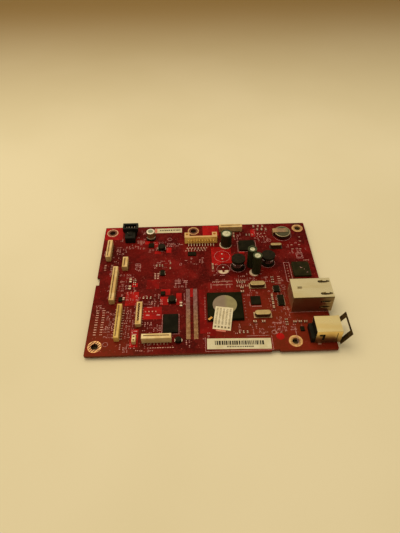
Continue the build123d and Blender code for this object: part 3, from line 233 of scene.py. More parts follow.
# %% Clouds, grains and tints
def cloud(size, detail=3.0, vector=None, low=0.35, high=0.65):
    """Soft noise, 0 to 1, whose lumps are about size metres across."""
    noise = node("TexNoise", {"Vector": vector or spot_on(), "Scale": 1 / size, "Detail": detail})
    return soft_step(noise, low, high)


def bump(height, depth, strength=1.0):
    """Raise the surface by a pattern, depth metres deep."""
    drive("Normal", node("Bump", {"Height": height, "Strength": strength, "Distance": depth}))


def grain(depth, size=0.3 * MM, vector=None):
    """A fine bump over the whole surface."""
    bump(node("TexNoise", {"Vector": vector or spot_on(), "Scale": 1 / size, "Detail": 2.0}), depth)


def blend(share, first, second):
    """first where share is 0, second where it is 1."""
    return node("Mix", {0: share, 6: paint(first), 7: paint(second)}, 2, data_type="RGBA")


def colour(share, first, second):
    """Colour the finish: first where share is 0, second where it is 1."""
    drive("Base Color", blend(share, first, second))


def tint(share, tone):
    """Lay a tone over the colour that the finish has so far."""
    colour(share, bench[1].inputs["Base Color"].links[0].from_socket, tone)


def stripes(value, pitch, share, shift=0.0):
    """1 over the given share of each pitch along value, and 0 between."""
    return below(reckon("FRACT", reckon("DIVIDE", reckon("SUBTRACT", value, shift), pitch)), share)


def cloudy(name, light, dark, roughness, metallic=0.0, specular=0.5, cloud_size=2.0, depth=0.01, grain_size=0.3,
           stretch=(1.0, 1.0, 1.0)):
    """The commonest finish: a drift between two tones over a fine grain. Its sizes are in millimetres."""
    start(name, roughness, metallic, specular)
    vector = spot_on(scale=stretch)
    drift = cloud(cloud_size * MM, vector=vector)
    colour(drift, dark, light)
    drive("Roughness", node("MapRange", {"Value": drift, "To Min": roughness * 1.12, "To Max": roughness * 0.9}))
    grain(depth * MM, grain_size * MM, vector)


def dress(finish, *names):
    """Give CAD nodes a finish."""
    for name in names:
        nodes[name].data.materials.clear()
        nodes[name].data.materials.append(finishes[finish])
    print(finish, "on", ", ".join(names))


def dress_all(recipes):
    """Make the cloudy finishes of a table, and dress the nodes named at the end of each row."""
    for name, (*recipe, dressed) in recipes.items():
        cloudy(name, *recipe)
        dress(name, *dressed.split())


print("clouds, grains and tints ready")

# %% [markdown]
# ### The board's lacquer
#
# The laminate is glass fibre under a dark red lacquer. Over copper the lacquer looks a little lighter, so the faces
# show faint fields and bundles of tracks. Glass fibre shows bare on the cut edges, as a dull tan brown. A painted
# picture would blur up close. Nodes that read the place on the board stay sharp, and they tell the edge from the
# faces by the direction of the surface, with no second material.

# %% The lacquered laminate
start("board_lacquer", 0.5, specular=0.03)
spot = spot_on()
column, line, height = (measure(spot, axis) for axis in "XYZ")
base = blend(cloud(26 * MM, 4.0, spot, 0.38, 0.62), (68, 6, 3), (94, 11, 5))
mottled = times(cloud(11 * MM, 3.0, spot, 0.5, 0.66), 0.3)
base = blend(mottled, base, (138, 16, 12))
# Toward the front left corner and a spot at the front right, the lacquer turns a lighter brown
brown_zones = []
for centre, far, near in (((44, -44), 62, 8), ((-72, -54), 42, 6)):
    centre = (centre[0] * MM, centre[1] * MM, 0)
    distance = node("VectorMath", {0: spot, 1: centre}, "Value", operation="DISTANCE")
    brown_zones.append(soft_step(distance, far * MM, near * MM))
brown = times(reckon("MAXIMUM", *brown_zones), 0.6)
base = blend(brown, base, (120, 44, 16))
print("brown zones:", len(brown_zones))

# %% [markdown]
# Bundles of tracks run along X, along Y or slantwise. A Voronoi pattern deals the board into patches, and the
# colour of each patch picks its direction.

# %% Tracks under the lacquer
patch = node("TexVoronoi", {"Vector": spot, "Scale": 1 / (13 * MM)}, "Color")
pick = node("SeparateColor", {"Color": patch}, "Red")
way = node("Mix", {0: below(pick, 0.4), 2: line, 3: column})
slantwise = reckon("ADD", column, line)
way = node("Mix", {0: above(pick, 0.75), 2: way, 3: slantwise})
busy = cloud(9 * MM, 2.0, spot, 0.52, 0.56)
tracks = times(stripes(way, 0.62 * MM, 0.42), busy)
fine = cloud(1.4 * MM, 2.0, spot, 0.45, 0.6)
lift = reckon("ADD", times(tracks, 0.3), times(fine, 0.14))
face = blend(lift, base, (150, 40, 30))
flat = above(reckon("ABSOLUTE", looking("Z")), 0.5)
side = blend(stripes(height, 0.2 * MM, 0.5), (112, 52, 26), (89, 41, 26))
colour(flat, side, face)
drive("Roughness", node("MapRange", {"Value": fine, "To Min": 0.36, "To Max": 0.5}))
weave = node("TexWave", {"Vector": spot, "Scale": 1 / (5 * MM), "Distortion": 0.6}, "Fac")
bump(reckon("ADD", tracks, times(weave, 0.15)), 0.02 * MM, 0.6)
dress("board_lacquer", "circuit_board")

# %% [markdown]
# ### Metals
#
# Tinned sheet, gilded contacts and dull solder differ in colour, in roughness and in the way their scratches run.
# One recipe makes them all, so a table is enough. Each row gives two tones, roughness, metallic and specular, the
# clouds' size and the grain's depth and size in millimetres, and at its end the nodes to dress. Stretching the noise
# along one axis gives the two jacks the drawn look of rolled sheet.

# %% Metals
ROLLED = (0.25, 1.0, 1.0)
dress_all({
    "tinned_sheet": ((232, 208, 148), (212, 186, 124), 0.3, 0.95, 0.5, 6, 0.003, 0.25, ROLLED,
                     "network_jack_shield"),
    "brassy_sheet": ((242, 212, 138), (226, 192, 116), 0.3, 0.95, 0.5, 6, 0.003, 0.25, ROLLED, "usb_jack_shield"),
    "spring_steel": ((104, 78, 34), (64, 45, 19), 0.5, 0.7, 0.4, 2, 0.004, "usb_ground_spring"),
    "solder": ((196, 176, 148), (150, 128, 102), 0.38, 0.85, 0.5, 0.8, 0.02, "solder_joints solder_balls"),
    "gilding": ((222, 176, 96), (184, 138, 66), 0.3, 0.9, 0.5, 1, 0.004,
                "network_jack_contacts usb_jack_contacts"),
    "tinned_pin": ((226, 202, 160), (180, 150, 112), 0.34, 0.75, 0.5, 1, 0.004,
                   "two_pin_socket_pins black_socket_pins small_chip_leads capacitor_leads "
                   "moulded_coil_terminals chip_end_caps"),
    "dark_contact": ((112, 88, 44), (66, 46, 22), 0.4, 0.7, 0.5, 1, 0.004,
                     "corner_socket_contacts short_socket_contacts long_socket_contacts "
                     "rear_socket_contacts power_chip_leads network_chip_leads"),
    "dull_pin": ((176, 128, 96), (104, 66, 46), 0.45, 0.6, 0.5, 1.2, 0.004,
                 "pin_row_socket_contacts front_socket_contacts trough_socket_contacts"),
})

# %% [markdown]
# ### Painted shade on the front walls
#
# The sheet that faces the front edge is painted darker than the tops, as painted shade, and on the USB jack the
# painted shade grows toward the foot. The tongues pressed into the network jack lean, and their sloped faces are
# painted dark olive, as a painted reflection of the dark inside. The direction of the surface tells all of these
# apart, so no second material is needed.

# %% Painted shade on the front walls
def shade_front_walls(finish, share, tone, box=None):
    """Paint shade on the walls that face the front edge, evenly, or more toward the foot of a box."""
    take_up(finish)
    ahead = below(looking("Y"), -0.5)
    if box:
        half_way = (box[0].z + box[1].z) / 2
        depth = soft_step(measure(spot_on(), "Z"), box[1].z - 1 * MM, half_way - 2 * MM)
        ahead = times(ahead, node("MapRange", {"Value": depth, "To Min": 0.0, "To Max": 1.6}))
    tint(times(ahead, share), tone)


# Painted shade on the front walls of both jacks
shade_front_walls("brassy_sheet", 0.5, (104, 70, 44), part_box("usb_jack_shield"))
shade_front_walls("tinned_sheet", 0.66, (92, 56, 42))
# Sloped faces, such as the network jack's leaning tongues, are painted dark olive: a painted reflection of the dark
# inside
upward = looking("Z")
tint(times(above(upward, 0.2), below(upward, 0.985)), (92, 74, 36))
print("fronts dulled")

# %% [markdown]
# ### Plastics, ceramics and wire
#
# Moulded parts have an even colour with a faint drift and a fine spark-eroded grain. The sockets are a warm
# ivory nylon, the chips a grey-green epoxy, and the ferrite drums are rougher than either. The ten-pin header's
# top faces are tinted a duller tan than its walls, and its pins are tinted ochre from a little above the board up.

# %% Plastics and ceramics
dress_all({
    "black_plastic": ((22, 19, 11), (13, 12, 7), 0.5, 0.0, 0.15,
                      "network_jack_housing usb_jack_housing black_socket_housing flat_capacitor_base"),
    "ivory_plastic": ((222, 184, 116), (200, 156, 88), 0.5, 0.0, 0.2, 5,
                      "corner_socket_housing short_socket_housing long_socket_housing "
                      "trough_socket_housing rear_socket_housing"),
    "cream_plastic": ((232, 200, 136), (212, 174, 106), 0.5, 0.0, 0.2, 5,
                      "front_socket_housing two_pin_socket_housing"),
    "yellow_plastic": ((214, 172, 88), (188, 142, 62), 0.5, 0.0, 0.2, 5, "pin_row_socket_housing"),
    "ochre_plastic": ((246, 200, 96), (222, 166, 68), 0.5, 0.0, 0.2, 4, "ten_pin_header_housing"),
    "chip_epoxy": ((31, 26, 11), (23, 20, 8), 0.6, 0.0, 0.04, 4, "power_chip_body small_chip_bodies"),
    "green_epoxy": ((42, 36, 13), (33, 28, 10), 0.6, 0.0, 0.04, 4, "network_chip_body"),
    "processor_epoxy": ((26, 24, 6), (19, 18, 4), 0.6, 0.0, 0.04, 6, "processor_substrate processor_cap"),
    "memory_epoxy": ((25, 22, 10), (19, 17, 8), 0.6, 0.0, 0.05, 4, "memory_chip"),
    "ferrite": ((33, 25, 8), (20, 16, 5), 0.5, 0.0, 0.08, 1.5, 0.03, "drum_cores moulded_coil_bodies"),
    "wire_enamel": ((118, 62, 44), (34, 18, 12), 0.26, 0.7, 0.5, 0.8, "drum_windings"),
    "tan_ceramic": ((156, 106, 76), (122, 76, 52), 0.45, 0.0, 0.3, 0.8, "chip_capacitors"),
    "dark_ceramic": ((140, 98, 78), (70, 44, 34), 0.4, 0.0, 0.3, 1.6, "chip_resistors"),
    "ochre_tipped_pin": ((226, 200, 156), (190, 156, 116), 0.4, 0.1, 0.4, 1, 0.004, "ten_pin_header_pins"),
})
# Painted shade on the front walls of the pale plastic sockets
for name in ("ivory_plastic", "cream_plastic"):
    shade_front_walls(name, 0.45, (122, 86, 42))
# The header's top faces are tinted a duller tan than its walls
take_up("ochre_plastic")
tint(above(looking("Z"), 0.5), (206, 158, 92))
# The header's pins are tinted ochre from a little above the board upward
take_up("ochre_tipped_pin")
tint(soft_step(measure(spot_on(), "Z"), board_top + 0.9 * MM, board_top + 1.7 * MM), (236, 186, 86))

# %% [markdown]
# ### Cans and sleeves
#
# An upright capacitor is an aluminium can in a shrunk dark sleeve. The sleeve's rolled lip is painted paler than its
# wall, as a painted highlight, and the can's walls are painted darker than its top, as painted shade; the finish
# tells these apart by the direction of the surface. A can's bright face ends short of its rolled edge, and two
# scores cross on it, where it would burst. The scores are painted dark, as painted shade in their grooves. We
# measure both from the can's own axis, because they have to sit in its middle. The scores are too shallow to be
# worth modelling.

# %% Cans and sleeves
FACES_UP = 0.6  # how far a surface must look up to count as a top


def lit_tops_shaded_walls(name, walls, tops, roughness, metallic=0.0, specular=0.5):
    """A finish with a painted lit tone on tops and a painted shaded tone on walls, with a faint drift over both."""
    start(name, roughness, metallic, specular)
    upward = above(looking("Z"), FACES_UP)
    colour(upward, walls, tops)
    tint(times(cloud(1.5 * MM), 0.18), (60, 50, 34))
    grain(0.006 * MM)


# Painted light and shade: lit tones on the tops, shaded tones on the walls
lit_tops_shaded_walls("sleeve_film", (27, 33, 12), (60, 66, 32), 0.34, 0.0, 0.2)
lit_tops_shaded_walls("can_metal", (120, 110, 70), (216, 204, 154), 0.45, 0.6, 0.4)
tint(times(soft_step(cloud(3 * MM), 0.3, 0.9), 0.35), (140, 140, 76))
reaches, scores = [], []
for column, row, radius in ((90.9, 94.0, 3.1), (107.0, 71.6, 1.75), (109.8, 65.2, 2.15)):
    score_length, score_width = 1.5 * radius * MM, 0.22 * MM
    crossed = spot_on(place(column, row), math.radians(25))
    scores += [inside(crossed, score_length, score_width), inside(crossed, score_width, score_length)]
    reaches.append(reckon("DIVIDE", from_axis(place(column, row)), radius * MM))
# The scores are painted dark, as painted shade in their grooves
tint(times(reckon("MAXIMUM", *scores), 0.55), (110, 100, 58))
tint(soft_step(reckon("MINIMUM", *reaches), 0.9, 1.0), (62, 62, 34))
dress("sleeve_film", "tall_capacitor_sleeves")
dress("can_metal", "tall_capacitor_cans")

# %% [markdown]
# ### The squat can, the crystals and the cell
#
# The squat can has no sleeve: its wall is painted a brownish gold, darker than its top, as painted shade, and its
# top is a pale rim round a grey-green middle. A crystal's can is bright on top, and its drawn walls and its flange's
# walls are painted darker, as painted shade; the slim one's flange is tinted dark olive. The backup cell is steel:
# the rim of its face is painted bright against a dull middle, as a painted highlight, and its wall is painted dark,
# as painted shade. The nickel strap over it is tan at one end, pinkish in the middle and olive at the other end.
# Each difference is one of place, so one material per part is enough.

# %% The squat can, the crystals and the cell
# The wall tone is painted shade, and the top tone is the lit one
lit_tops_shaded_walls("squat_can", (152, 114, 58), (226, 208, 166), 0.42, 0.7)
squat_middle = below(from_axis(middle("flat_capacitor_can")), 1.9 * MM)
tint(times(squat_middle, above(looking("Z"), FACES_UP)), (132, 136, 98))
dress("squat_can", "flat_capacitor_can")
# Crystal cans: walls painted darker than tops, as painted shade
lit_tops_shaded_walls("crystal_metal", (84, 58, 28), (184, 152, 90), 0.4, 0.75)
dress("crystal_metal", "crystal_cans")
# Crystal flanges: walls painted darker than tops, as painted shade
lit_tops_shaded_walls("flange_metal", (150, 112, 72), (186, 146, 98), 0.45, 0.6)
slim_crystal = place(126.9, 89.2)
tint(soft_step(from_axis(slim_crystal), 7.5 * MM, 6.5 * MM), (66, 48, 24))
dress("flange_metal", "crystal_bases")

start("nickel_strap", 0.4, 0.7)
across = measure(spot_on(middle("backup_cell")), "X")
tan_end = soft_step(across, -4.5 * MM, -3 * MM)
colour(tan_end, (166, 128, 74), (140, 98, 62))
tint(soft_step(across, 1.5 * MM, 3 * MM), (112, 98, 52))
tint(times(cloud(1.2 * MM), 0.35), (206, 168, 112))
grain(0.008 * MM)
dress("nickel_strap", "backup_cell_straps")

cell_low, cell_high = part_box("backup_cell")
cell_radius = (cell_high.x - cell_low.x) / 2
start("cell_steel", 0.36, 0.75)
reach = reckon("DIVIDE", from_axis(middle("backup_cell")), cell_radius)
# The rim of the cell's face is painted bright: a painted highlight
cell_face = blend(soft_step(reach, 0.82, 0.88), (86, 78, 42), (160, 138, 92))
upward = above(looking("Z"), FACES_UP)
# The cell's wall is painted dark: painted shade
colour(upward, (70, 48, 28), cell_face)
tint(times(cloud(2 * MM), 0.25), (70, 52, 30))
grain(0.006 * MM)
dress("cell_steel", "backup_cell")

# %% [markdown]
# ### Paper
#
# Labels are paper with a fibre grain. The round one on the processor is grey foil, left plain. The slanted one
# carries five columns of print. Its words are nobody's business here, so the columns are only dark dashes, broken
# up by noise, with a row of bolder marks at the foot. The coordinates are turned to lie along the label.

# %% Labels
dress_all({"label_paper": ((212, 194, 146), (200, 180, 130), 0.65, 0.0, 0.15, 3, "barcode_label rear_label")})
start("grey_label", 0.5, 0.1, 0.25)
across = measure(spot_on(place(86.1, 35.0)), "X")
greener = soft_step(across, -1.0 * MM, 2.5 * MM)
colour(greener, (134, 110, 84), (142, 126, 78))
tint(times(cloud(3 * MM), 0.3), (112, 96, 62))
grain(0.006 * MM)
dress("grey_label", "processor_round_label")

start("slant_label", 0.65, specular=0.15)
slant_place = place(83.0, 16.5)
vector = spot_on(slant_place, math.radians(9.7))


def label_part(up, length, width):
    """1 inside a box on the slanted label, up from its foot, and 0 outside."""
    moved = node("VectorMath", {0: vector, 1: (0, up, 0)}, operation="SUBTRACT")
    return inside(moved, length, width)


column_shift = 1.49 * MM
columns = stripes(measure(vector, "X"), 2.1 * MM, 0.58, column_shift)
dashes = stripes(measure(vector, "Y"), 0.55 * MM, 0.6)
broken = cloud(0.7 * MM, 1.0, vector, 0.4, 0.5)
lines = reckon("ADD", times(dashes, broken, 0.5), 0.2)
body = times(columns, lines, label_part(9.2 * MM, 10.4 * MM, 12.4 * MM))
foot = times(columns, label_part(1.7 * MM, 10.0 * MM, 1.1 * MM), 0.8)
paper = blend(cloud(3 * MM, vector=vector), (214, 190, 140), (228, 206, 158))
printed_share = reckon("MAXIMUM", body, foot)
colour(printed_share, paper, (84, 66, 34))
grain(0.01 * MM, vector=vector)
dress("slant_label", "processor_paper_label")

# %% [markdown]
# ### Eyelets round the mounting holes
#
# The plated rings differ: one is hatched with lacquer, two are lacquered but for their rim, and two are bare. All
# five are one CAD solid, so the finish asks where it is. The distance from the nearest hole gives the rims. The
# middle of each ring is tinted darker toward the hole, so the rim stays the brightest.

# %% Eyelets
start("eyelet", 0.38, 0.6, 0.4)
spot = spot_on()
across, up = (measure(spot, axis) for axis in "XY")
at_left, at_rear = below(across, 0.0), above(up, 0.0)
at_front = reckon("SUBTRACT", 1.0, at_rear)
from_hole = nearest_axis(mounting_holes)
colour(cloud(1.2 * MM), (196, 134, 74), (226, 176, 100))
tint(times(soft_step(from_hole, 3.7 * MM, 2.7 * MM), 0.5), (120, 76, 36))
hatch = stripes(reckon("SUBTRACT", across, up), 2.0 * MM, 0.5)
tint(times(hatch, at_left, at_front, below(from_hole, 3.95 * MM)), (78, 36, 16))
tint(times(below(from_hole, 3.5 * MM), at_left, at_rear), (112, 60, 32))
grain(0.006 * MM)
dress("eyelet", "mounting_hole_rings")

# %% [markdown]
# ## What is printed, plated and soldered on the board
#
# Everything from here to the stage is thinner or finer than a CAD solid should be. All of it is modelled as by
# hand: a primitive is added, opened in edit mode, extruded or inset, and given its place. The helpers below save us
# from typing the same few operators for each piece. An operator acts on all that is selected, so they select anew.

# %% Helpers for modelling
def add_primitive(kind, **settings):
    """Add a mesh primitive with nothing else selected."""
    bpy.ops.object.select_all(action="DESELECT")
    getattr(bpy.ops.mesh, f"primitive_{kind}_add")(**settings)
    return bpy.context.object


def face_outward():
    """Turn all faces of the piece in edit mode outward, and go back to object mode."""
    bpy.ops.mesh.select_all(action="SELECT")
    bpy.ops.mesh.normals_make_consistent(inside=False)
    bpy.ops.object.mode_set(mode="OBJECT")


def close_open_edges():
    """Fill each open loop of the piece in edit mode with a face."""
    bpy.ops.mesh.select_mode(type="EDGE")
    bpy.ops.mesh.select_all(action="DESELECT")
    bpy.ops.mesh.select_non_manifold()
    bpy.ops.mesh.fill_holes(sides=0)
    face_outward()


def raise_flat(piece, thickness):
    """Give a flat piece its thickness, with every face pointing outward."""
    bpy.ops.object.mode_set(mode="EDIT")
    bpy.ops.mesh.select_all(action="SELECT")
    bpy.ops.mesh.extrude_region_move(TRANSFORM_OT_translate={"value": (0, 0, thickness)})
    face_outward()
    return piece


def only(pieces):
    """Select these pieces and nothing else, and make the first one active."""
    bpy.ops.object.select_all(action="DESELECT")
    for piece in pieces:
        piece.select_set(True)
    bpy.context.view_layer.objects.active = pieces[0]


def settle(pieces, name, finish):
    """Join the pieces, apply their places, and name, finish and mount the result on the board."""
    only(pieces)
    if len(pieces) > 1:
        bpy.ops.object.join()
    piece = bpy.context.object
    bpy.ops.object.transform_apply(location=True, rotation=True, scale=True)
    piece.name = name
    piece.data.name = name
    piece.data.materials.clear()
    piece.data.materials.append(finishes[finish])
    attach(piece, "root")
    print(name, "faces:", len(piece.data.polygons))
    return piece


def discard(*masters):
    """Remove the pieces that were only there to be copied or to cut."""
    for master in masters:
        bpy.data.objects.remove(master)


def twin(master, matrix):
    """A copy of master, with a mesh of its own, placed by a matrix."""
    copy = master.copy()
    copy.data = master.data.copy()
    copy.matrix_world = matrix
    scene.collection.objects.link(copy)
    return copy


def stamps(master, marks):
    """A twin of master for each mark: its middle, length, width and turn. The master goes when all are made."""
    copies = [twin(master, Matrix.Translation(spot) @ Matrix.Rotation(turn, 4, "Z")
                   @ Matrix.Diagonal((length, width, 1, 1))) for spot, length, width, turn in marks]
    discard(master)
    return copies


print("modelling helpers ready")

# %% [markdown]
# ### Plates, rings and frames
#
# Pads, copper fields and printed lines are flat plates on the board, each kind at a height of its own, so that a
# printed line lies over a copper field and not in it. The plate is a plane, one metre square, raised to its
# thickness: scaled by a length and a width it becomes any pad. A ring is a filled circle whose middle is inset and
# deleted, and so is a frame. Curves with a bevel would do too, but plates keep true edges.

# %% Plates, rings and frames
FIELD_LEVEL = 0.03 * MM      # copper fields under the lacquer
PAD_LEVEL = 0.05 * MM        # bare pads
PRINT_LEVEL = 0.065 * MM     # printed lines
LOW_LEVEL = 0.04 * MM        # plated holes, pads on the underside and marks on parts
PAPER_LEVEL = 0.015 * MM     # print on labels
INK_LINE = 0.16              # width of a printed line in millimetres
FRAME_LINE = 0.2 * MM        # width of a printed frame's line
ORIGIN = Vector((0, 0, 0))


def plate(thickness):
    """A plate one metre square, standing on level zero, to be stamped at any size."""
    return raise_flat(add_primitive("plane", size=1.0), thickness)


def stamp_out(thickness, marks, name, finish):
    """Settle a piece made of flat plates, one for each mark."""
    settle(stamps(plate(thickness), marks), name, finish)


def disc(spot, radius, thickness, corners=32):
    """A filled round mark."""
    circle = add_primitive("circle", radius=radius, vertices=corners, fill_type="NGON", location=spot)
    return raise_flat(circle, thickness)


def opened(piece, line):
    """Turn a filled outline into a closed printed line of that width."""
    only([piece])
    bpy.ops.object.transform_apply(location=False, rotation=False, scale=True)
    bpy.ops.object.mode_set(mode="EDIT")
    bpy.ops.mesh.select_all(action="SELECT")
    bpy.ops.mesh.inset(thickness=line, use_boundary=True)
    bpy.ops.mesh.delete(type="FACE")
    return raise_flat(piece, PRINT_LEVEL)


def ring(spot, radius, line=INK_LINE):
    """A printed ring, its sizes in millimetres."""
    circle = add_primitive("circle", radius=radius * MM, vertices=40, fill_type="NGON", location=spot)
    return opened(circle, line * MM)


def outline(spot, length, width):
    """A printed rectangle, its sizes in millimetres."""
    piece = add_primitive("plane", size=1.0, location=spot)
    piece.scale = (length * MM, width * MM, 1.0)
    return opened(piece, FRAME_LINE)


def cut(piece, cutter):
    """Take the cutter's shape out of a flat piece."""
    only([piece])
    bite = piece.modifiers.new("bite", "BOOLEAN")
    bite.operation = "DIFFERENCE"
    bite.object = cutter
    bpy.ops.object.modifier_apply(modifier=bite.name)
    discard(cutter)
    return piece


def cut_round(piece, spot, radius):
    """Cut an upright round hole through a flat piece."""
    return cut(piece, add_primitive("cylinder", radius=radius, depth=2 * MM, vertices=48, location=spot))


print("plates, rings and frames ready")

# %% [markdown]
# ### Marks
#
# A mark says where a plate is stamped: its middle, length, width and turn. We type marks in columns and rows, with
# their sizes in millimetres. Pads come in rows at an even pitch, and copper fields span from corner to corner.

# %% Marks on the grid
ACROSS = True  # for a row that runs across the board, and not up it


def mark(column, row, length, width, turn=0.0):
    """One mark at a place of the grid."""
    return place(column, row), length * MM, width * MM, turn


def even_row(column, row, pitch, count, length, width, across=False):
    """Marks at an even pitch, up the board from a place, or across it."""
    steps = [(i * pitch, 0) if across else (0, i * pitch) for i in range(count)]
    return [mark(column + right, row + up, length, width) for right, up in steps]


def spanning(low_column, low_row, high_column, high_row):
    """A mark that fills a span of the grid."""
    low, high = place(low_column, low_row), place(high_column, high_row)
    return (low + high) / 2, high.x - low.x, high.y - low.y, 0.0


print("a mark:", mark(1, 1, 2, 0.5))

# %% [markdown]
# ### Copper fields
#
# The lacquer shows a brighter red over broad copper, and a less bright one where the copper lies deeper. Each field
# is one plate of lacquer, a thirtieth of a millimetre high. Fields could be colour only, painted by nodes on the
# board, but as plates they catch the light at their edges, as real copper under lacquer does.

# %% Copper fields
cloudy("field_lacquer", (170, 15, 11), (140, 10, 7), 0.45, 0.0, 0.06, 5, 0.004)
copper_fields = [
    # low column, low row, high column, high row
    (74, 104, 86, 115.5), (79.6, 74.2, 93.8, 91), (33.2, 26.2, 45.4, 36.4), (21.2, 38, 29.8, 49.6),
    (44.2, 37.6, 49.4, 44.6), (54.6, 37.6, 58.2, 47.6), (44.4, 46.2, 50.6, 51.4), (110.2, 101.4, 113.4, 109.8),
    (31, 96.2, 34.6, 99.6), (37.6, 92.6, 40.8, 99), (38.6, 85.6, 43.2, 88.4), (47, 86.6, 50.6, 92),
    (26.6, 5.4, 31.6, 18.6), (63.9, 44, 65.7, 51.6), (80, 72.8, 85.6, 74), (24.6, 54, 28.4, 57.6),
    (99.6, 84, 103.6, 86), (96.4, 74.6, 99.8, 79),
]
fields = stamps(plate(FIELD_LEVEL), [spanning(*field) for field in copper_fields])
fields.append(disc(place(118.5, 10.3), 2.5 * MM, FIELD_LEVEL))
corner_field, = stamps(plate(FIELD_LEVEL), [spanning(0.5, 102.0, 13.8, 115.5)])
fields.append(cut_round(corner_field, place(5.7, 109.8), 4.3 * MM))
settle(fields, "copper_fields", "field_lacquer")
cloudy("deep_lacquer", (132, 14, 9), (108, 10, 6), 0.45, 0.0, 0.04, 5, 0.004)
deep_fields = [(69.7, 14, 73.9, 50), (73.9, 12.2, 79.4, 21.6), (94, 74, 101, 83.4),
               (34.4, 51.8, 43, 60.4)]
stamp_out(FIELD_LEVEL, [spanning(*field) for field in deep_fields], "deep_fields", "deep_lacquer")

# %% [markdown]
# ### Bare pads
#
# Pads are copper left free of lacquer and tinned or gilded. Most come in rows for parts that this board was built
# without. A row is one plate stamped at an even pitch, and a few single pads stand alone.

# %% Bare pads
cloudy("pad_tin", (204, 154, 124), (158, 104, 82), 0.42, 0.3, 0.4, 1.2)
pad_rows = [
    # column and row of the first, pitch, how many, length, width
    (4.4, 15.4, 1.9, 11, 1.7, 0.5), (8.3, 15.4, 1.9, 11, 1.7, 0.5),
    (61.2, 88.2, 2.03, 8, 0.7, 1.3, ACROSS), (62.2, 90.9, 2.03, 8, 0.7, 1.3, ACROSS),
    (95.6, 52.6, 1.45, 6, 0.5, 1.7, ACROSS), (95.6, 57.4, 1.45, 5, 0.5, 1.5, ACROSS),
    (79.4, 54, 0.62, 22, 0.3, 0.9, ACROSS), (79.4, 57, 0.62, 22, 0.3, 0.9, ACROSS),
    (115.4, 105, 2.6, 3, 0.9, 0.7, ACROSS), (114.6, 101.6, 2.2, 4, 0.7, 0.9, ACROSS),
    (124.6, 54, 2, 4, 1.9, 0.5), (35, 32.6, 2.2, 4, 0.7, 0.9, ACROSS),
    (39.9, 61.4, 1.5, 4, 1.1, 0.8), (41.9, 61.4, 1.5, 4, 1.1, 0.8),
    (132, 57.4, 2.6, 6, 0.7, 0.7), (139, 87, 4.5, 2, 1.5, 0.7),
    (144.5, 87, 4.5, 2, 1.5, 0.7), (146, 95.4, 4.4, 2, 1.3, 0.7),
    (80, 68.6, 2.6, 2, 1.2, 1.3), (145, 75.3, 1.1, 4, 0.6, 0.7, ACROSS),
    (4.4, 70.6, 1.6, 4, 1.5, 0.45), (9, 70.6, 1.6, 4, 1.5, 0.45),
    (38, 4.6, 1.5, 11, 0.9, 0.45, ACROSS),
]
pad_marks = [pad for pads in pad_rows for pad in even_row(*pads)]
pad_marks += [mark(141.3, 4, 1.9, 1), mark(87.3, 76, 1, 0.5), mark(141.5, 66.5, 1.2, 0.6)]
stamp_out(PAD_LEVEL, pad_marks, "bare_pads", "pad_tin")

# %% [markdown]
# ### Ladders of fine pads
#
# Two long ladders of fine pads stand in the middle, dull and pinkish at the rear and gold at the front. They
# could have a finish for each end, but the change has no edge, so one finish drifts along the board.

# %% Ladders of fine pads
start("ladder_tin", 0.45, 0.3, 0.4)
up_board = measure(spot_on(), "Y")
to_rear = soft_step(up_board, place(0, 18).y, place(0, 44).y)
mottle = cloud(2 * MM)
front_tone = blend(mottle, (144, 102, 58), (182, 138, 86))
rear_tone = blend(mottle, (128, 88, 76), (160, 118, 104))
colour(to_rear, front_tone, rear_tone)
grain(0.01 * MM)
ladder_marks = [rung for column in (62.35, 67.15) for rung in even_row(column, 10.4, 0.62, 66, 2.6, 0.34)]
stamp_out(PAD_LEVEL, ladder_marks, "pad_ladders", "ladder_tin")

# %% [markdown]
# ### Clusters of small pads
#
# Between the large parts the board is crowded with pairs of small pads, most of them for chips that were never
# fitted. We give the span of each cluster and let seeded dice set the pairs a little off an even grid, as crowded
# layouts are. A pair must not lie under a part. We could list every place by hand, but a plumb line tells us
# whether the board lies bare at a spot. Held upside down, it tells the same of the underside.

# %% Plumb line and dice
dice = random.Random(7)
graph = bpy.context.evaluated_depsgraph_get()
floor_level = cad_box[0][2]
LINE_LENGTH = 60 * MM
DOWN, UP = -1, 1


def landing(spot, way=DOWN):
    """The level at which a plumb line through spot meets something."""
    start = board_low.z - LINE_LENGTH if way == UP else board_top + LINE_LENGTH
    found, hit, *rest = scene.ray_cast(graph, Vector((spot.x, spot.y, start)), Vector((0, 0, way)))
    return hit.z if found else floor_level


def bare_at(spot, reach, way=DOWN):
    """Whether the board is bare at spot and around it, but for copper fields on its upper side."""
    surface, slack = (board_low.z, 0.01 * MM) if way == UP else (board_top, 0.04 * MM)
    corners = [(0, 0), (reach, reach), (-reach, reach), (reach, -reach), (-reach, -reach)]
    return all(abs(landing(spot + Vector((right, up, 0)), way) - surface) < slack for right, up in corners)


print("floor at", round(floor_level / MM, 2), "mm, board's top at", round(landing(place(60, 60)) / MM, 2), "mm")

# %% [markdown]
# A pair stands upright or lies across. Some have a printed tick beside them, kept for the printed bars further
# down. The order of the throws matters, because another order would deal another board.

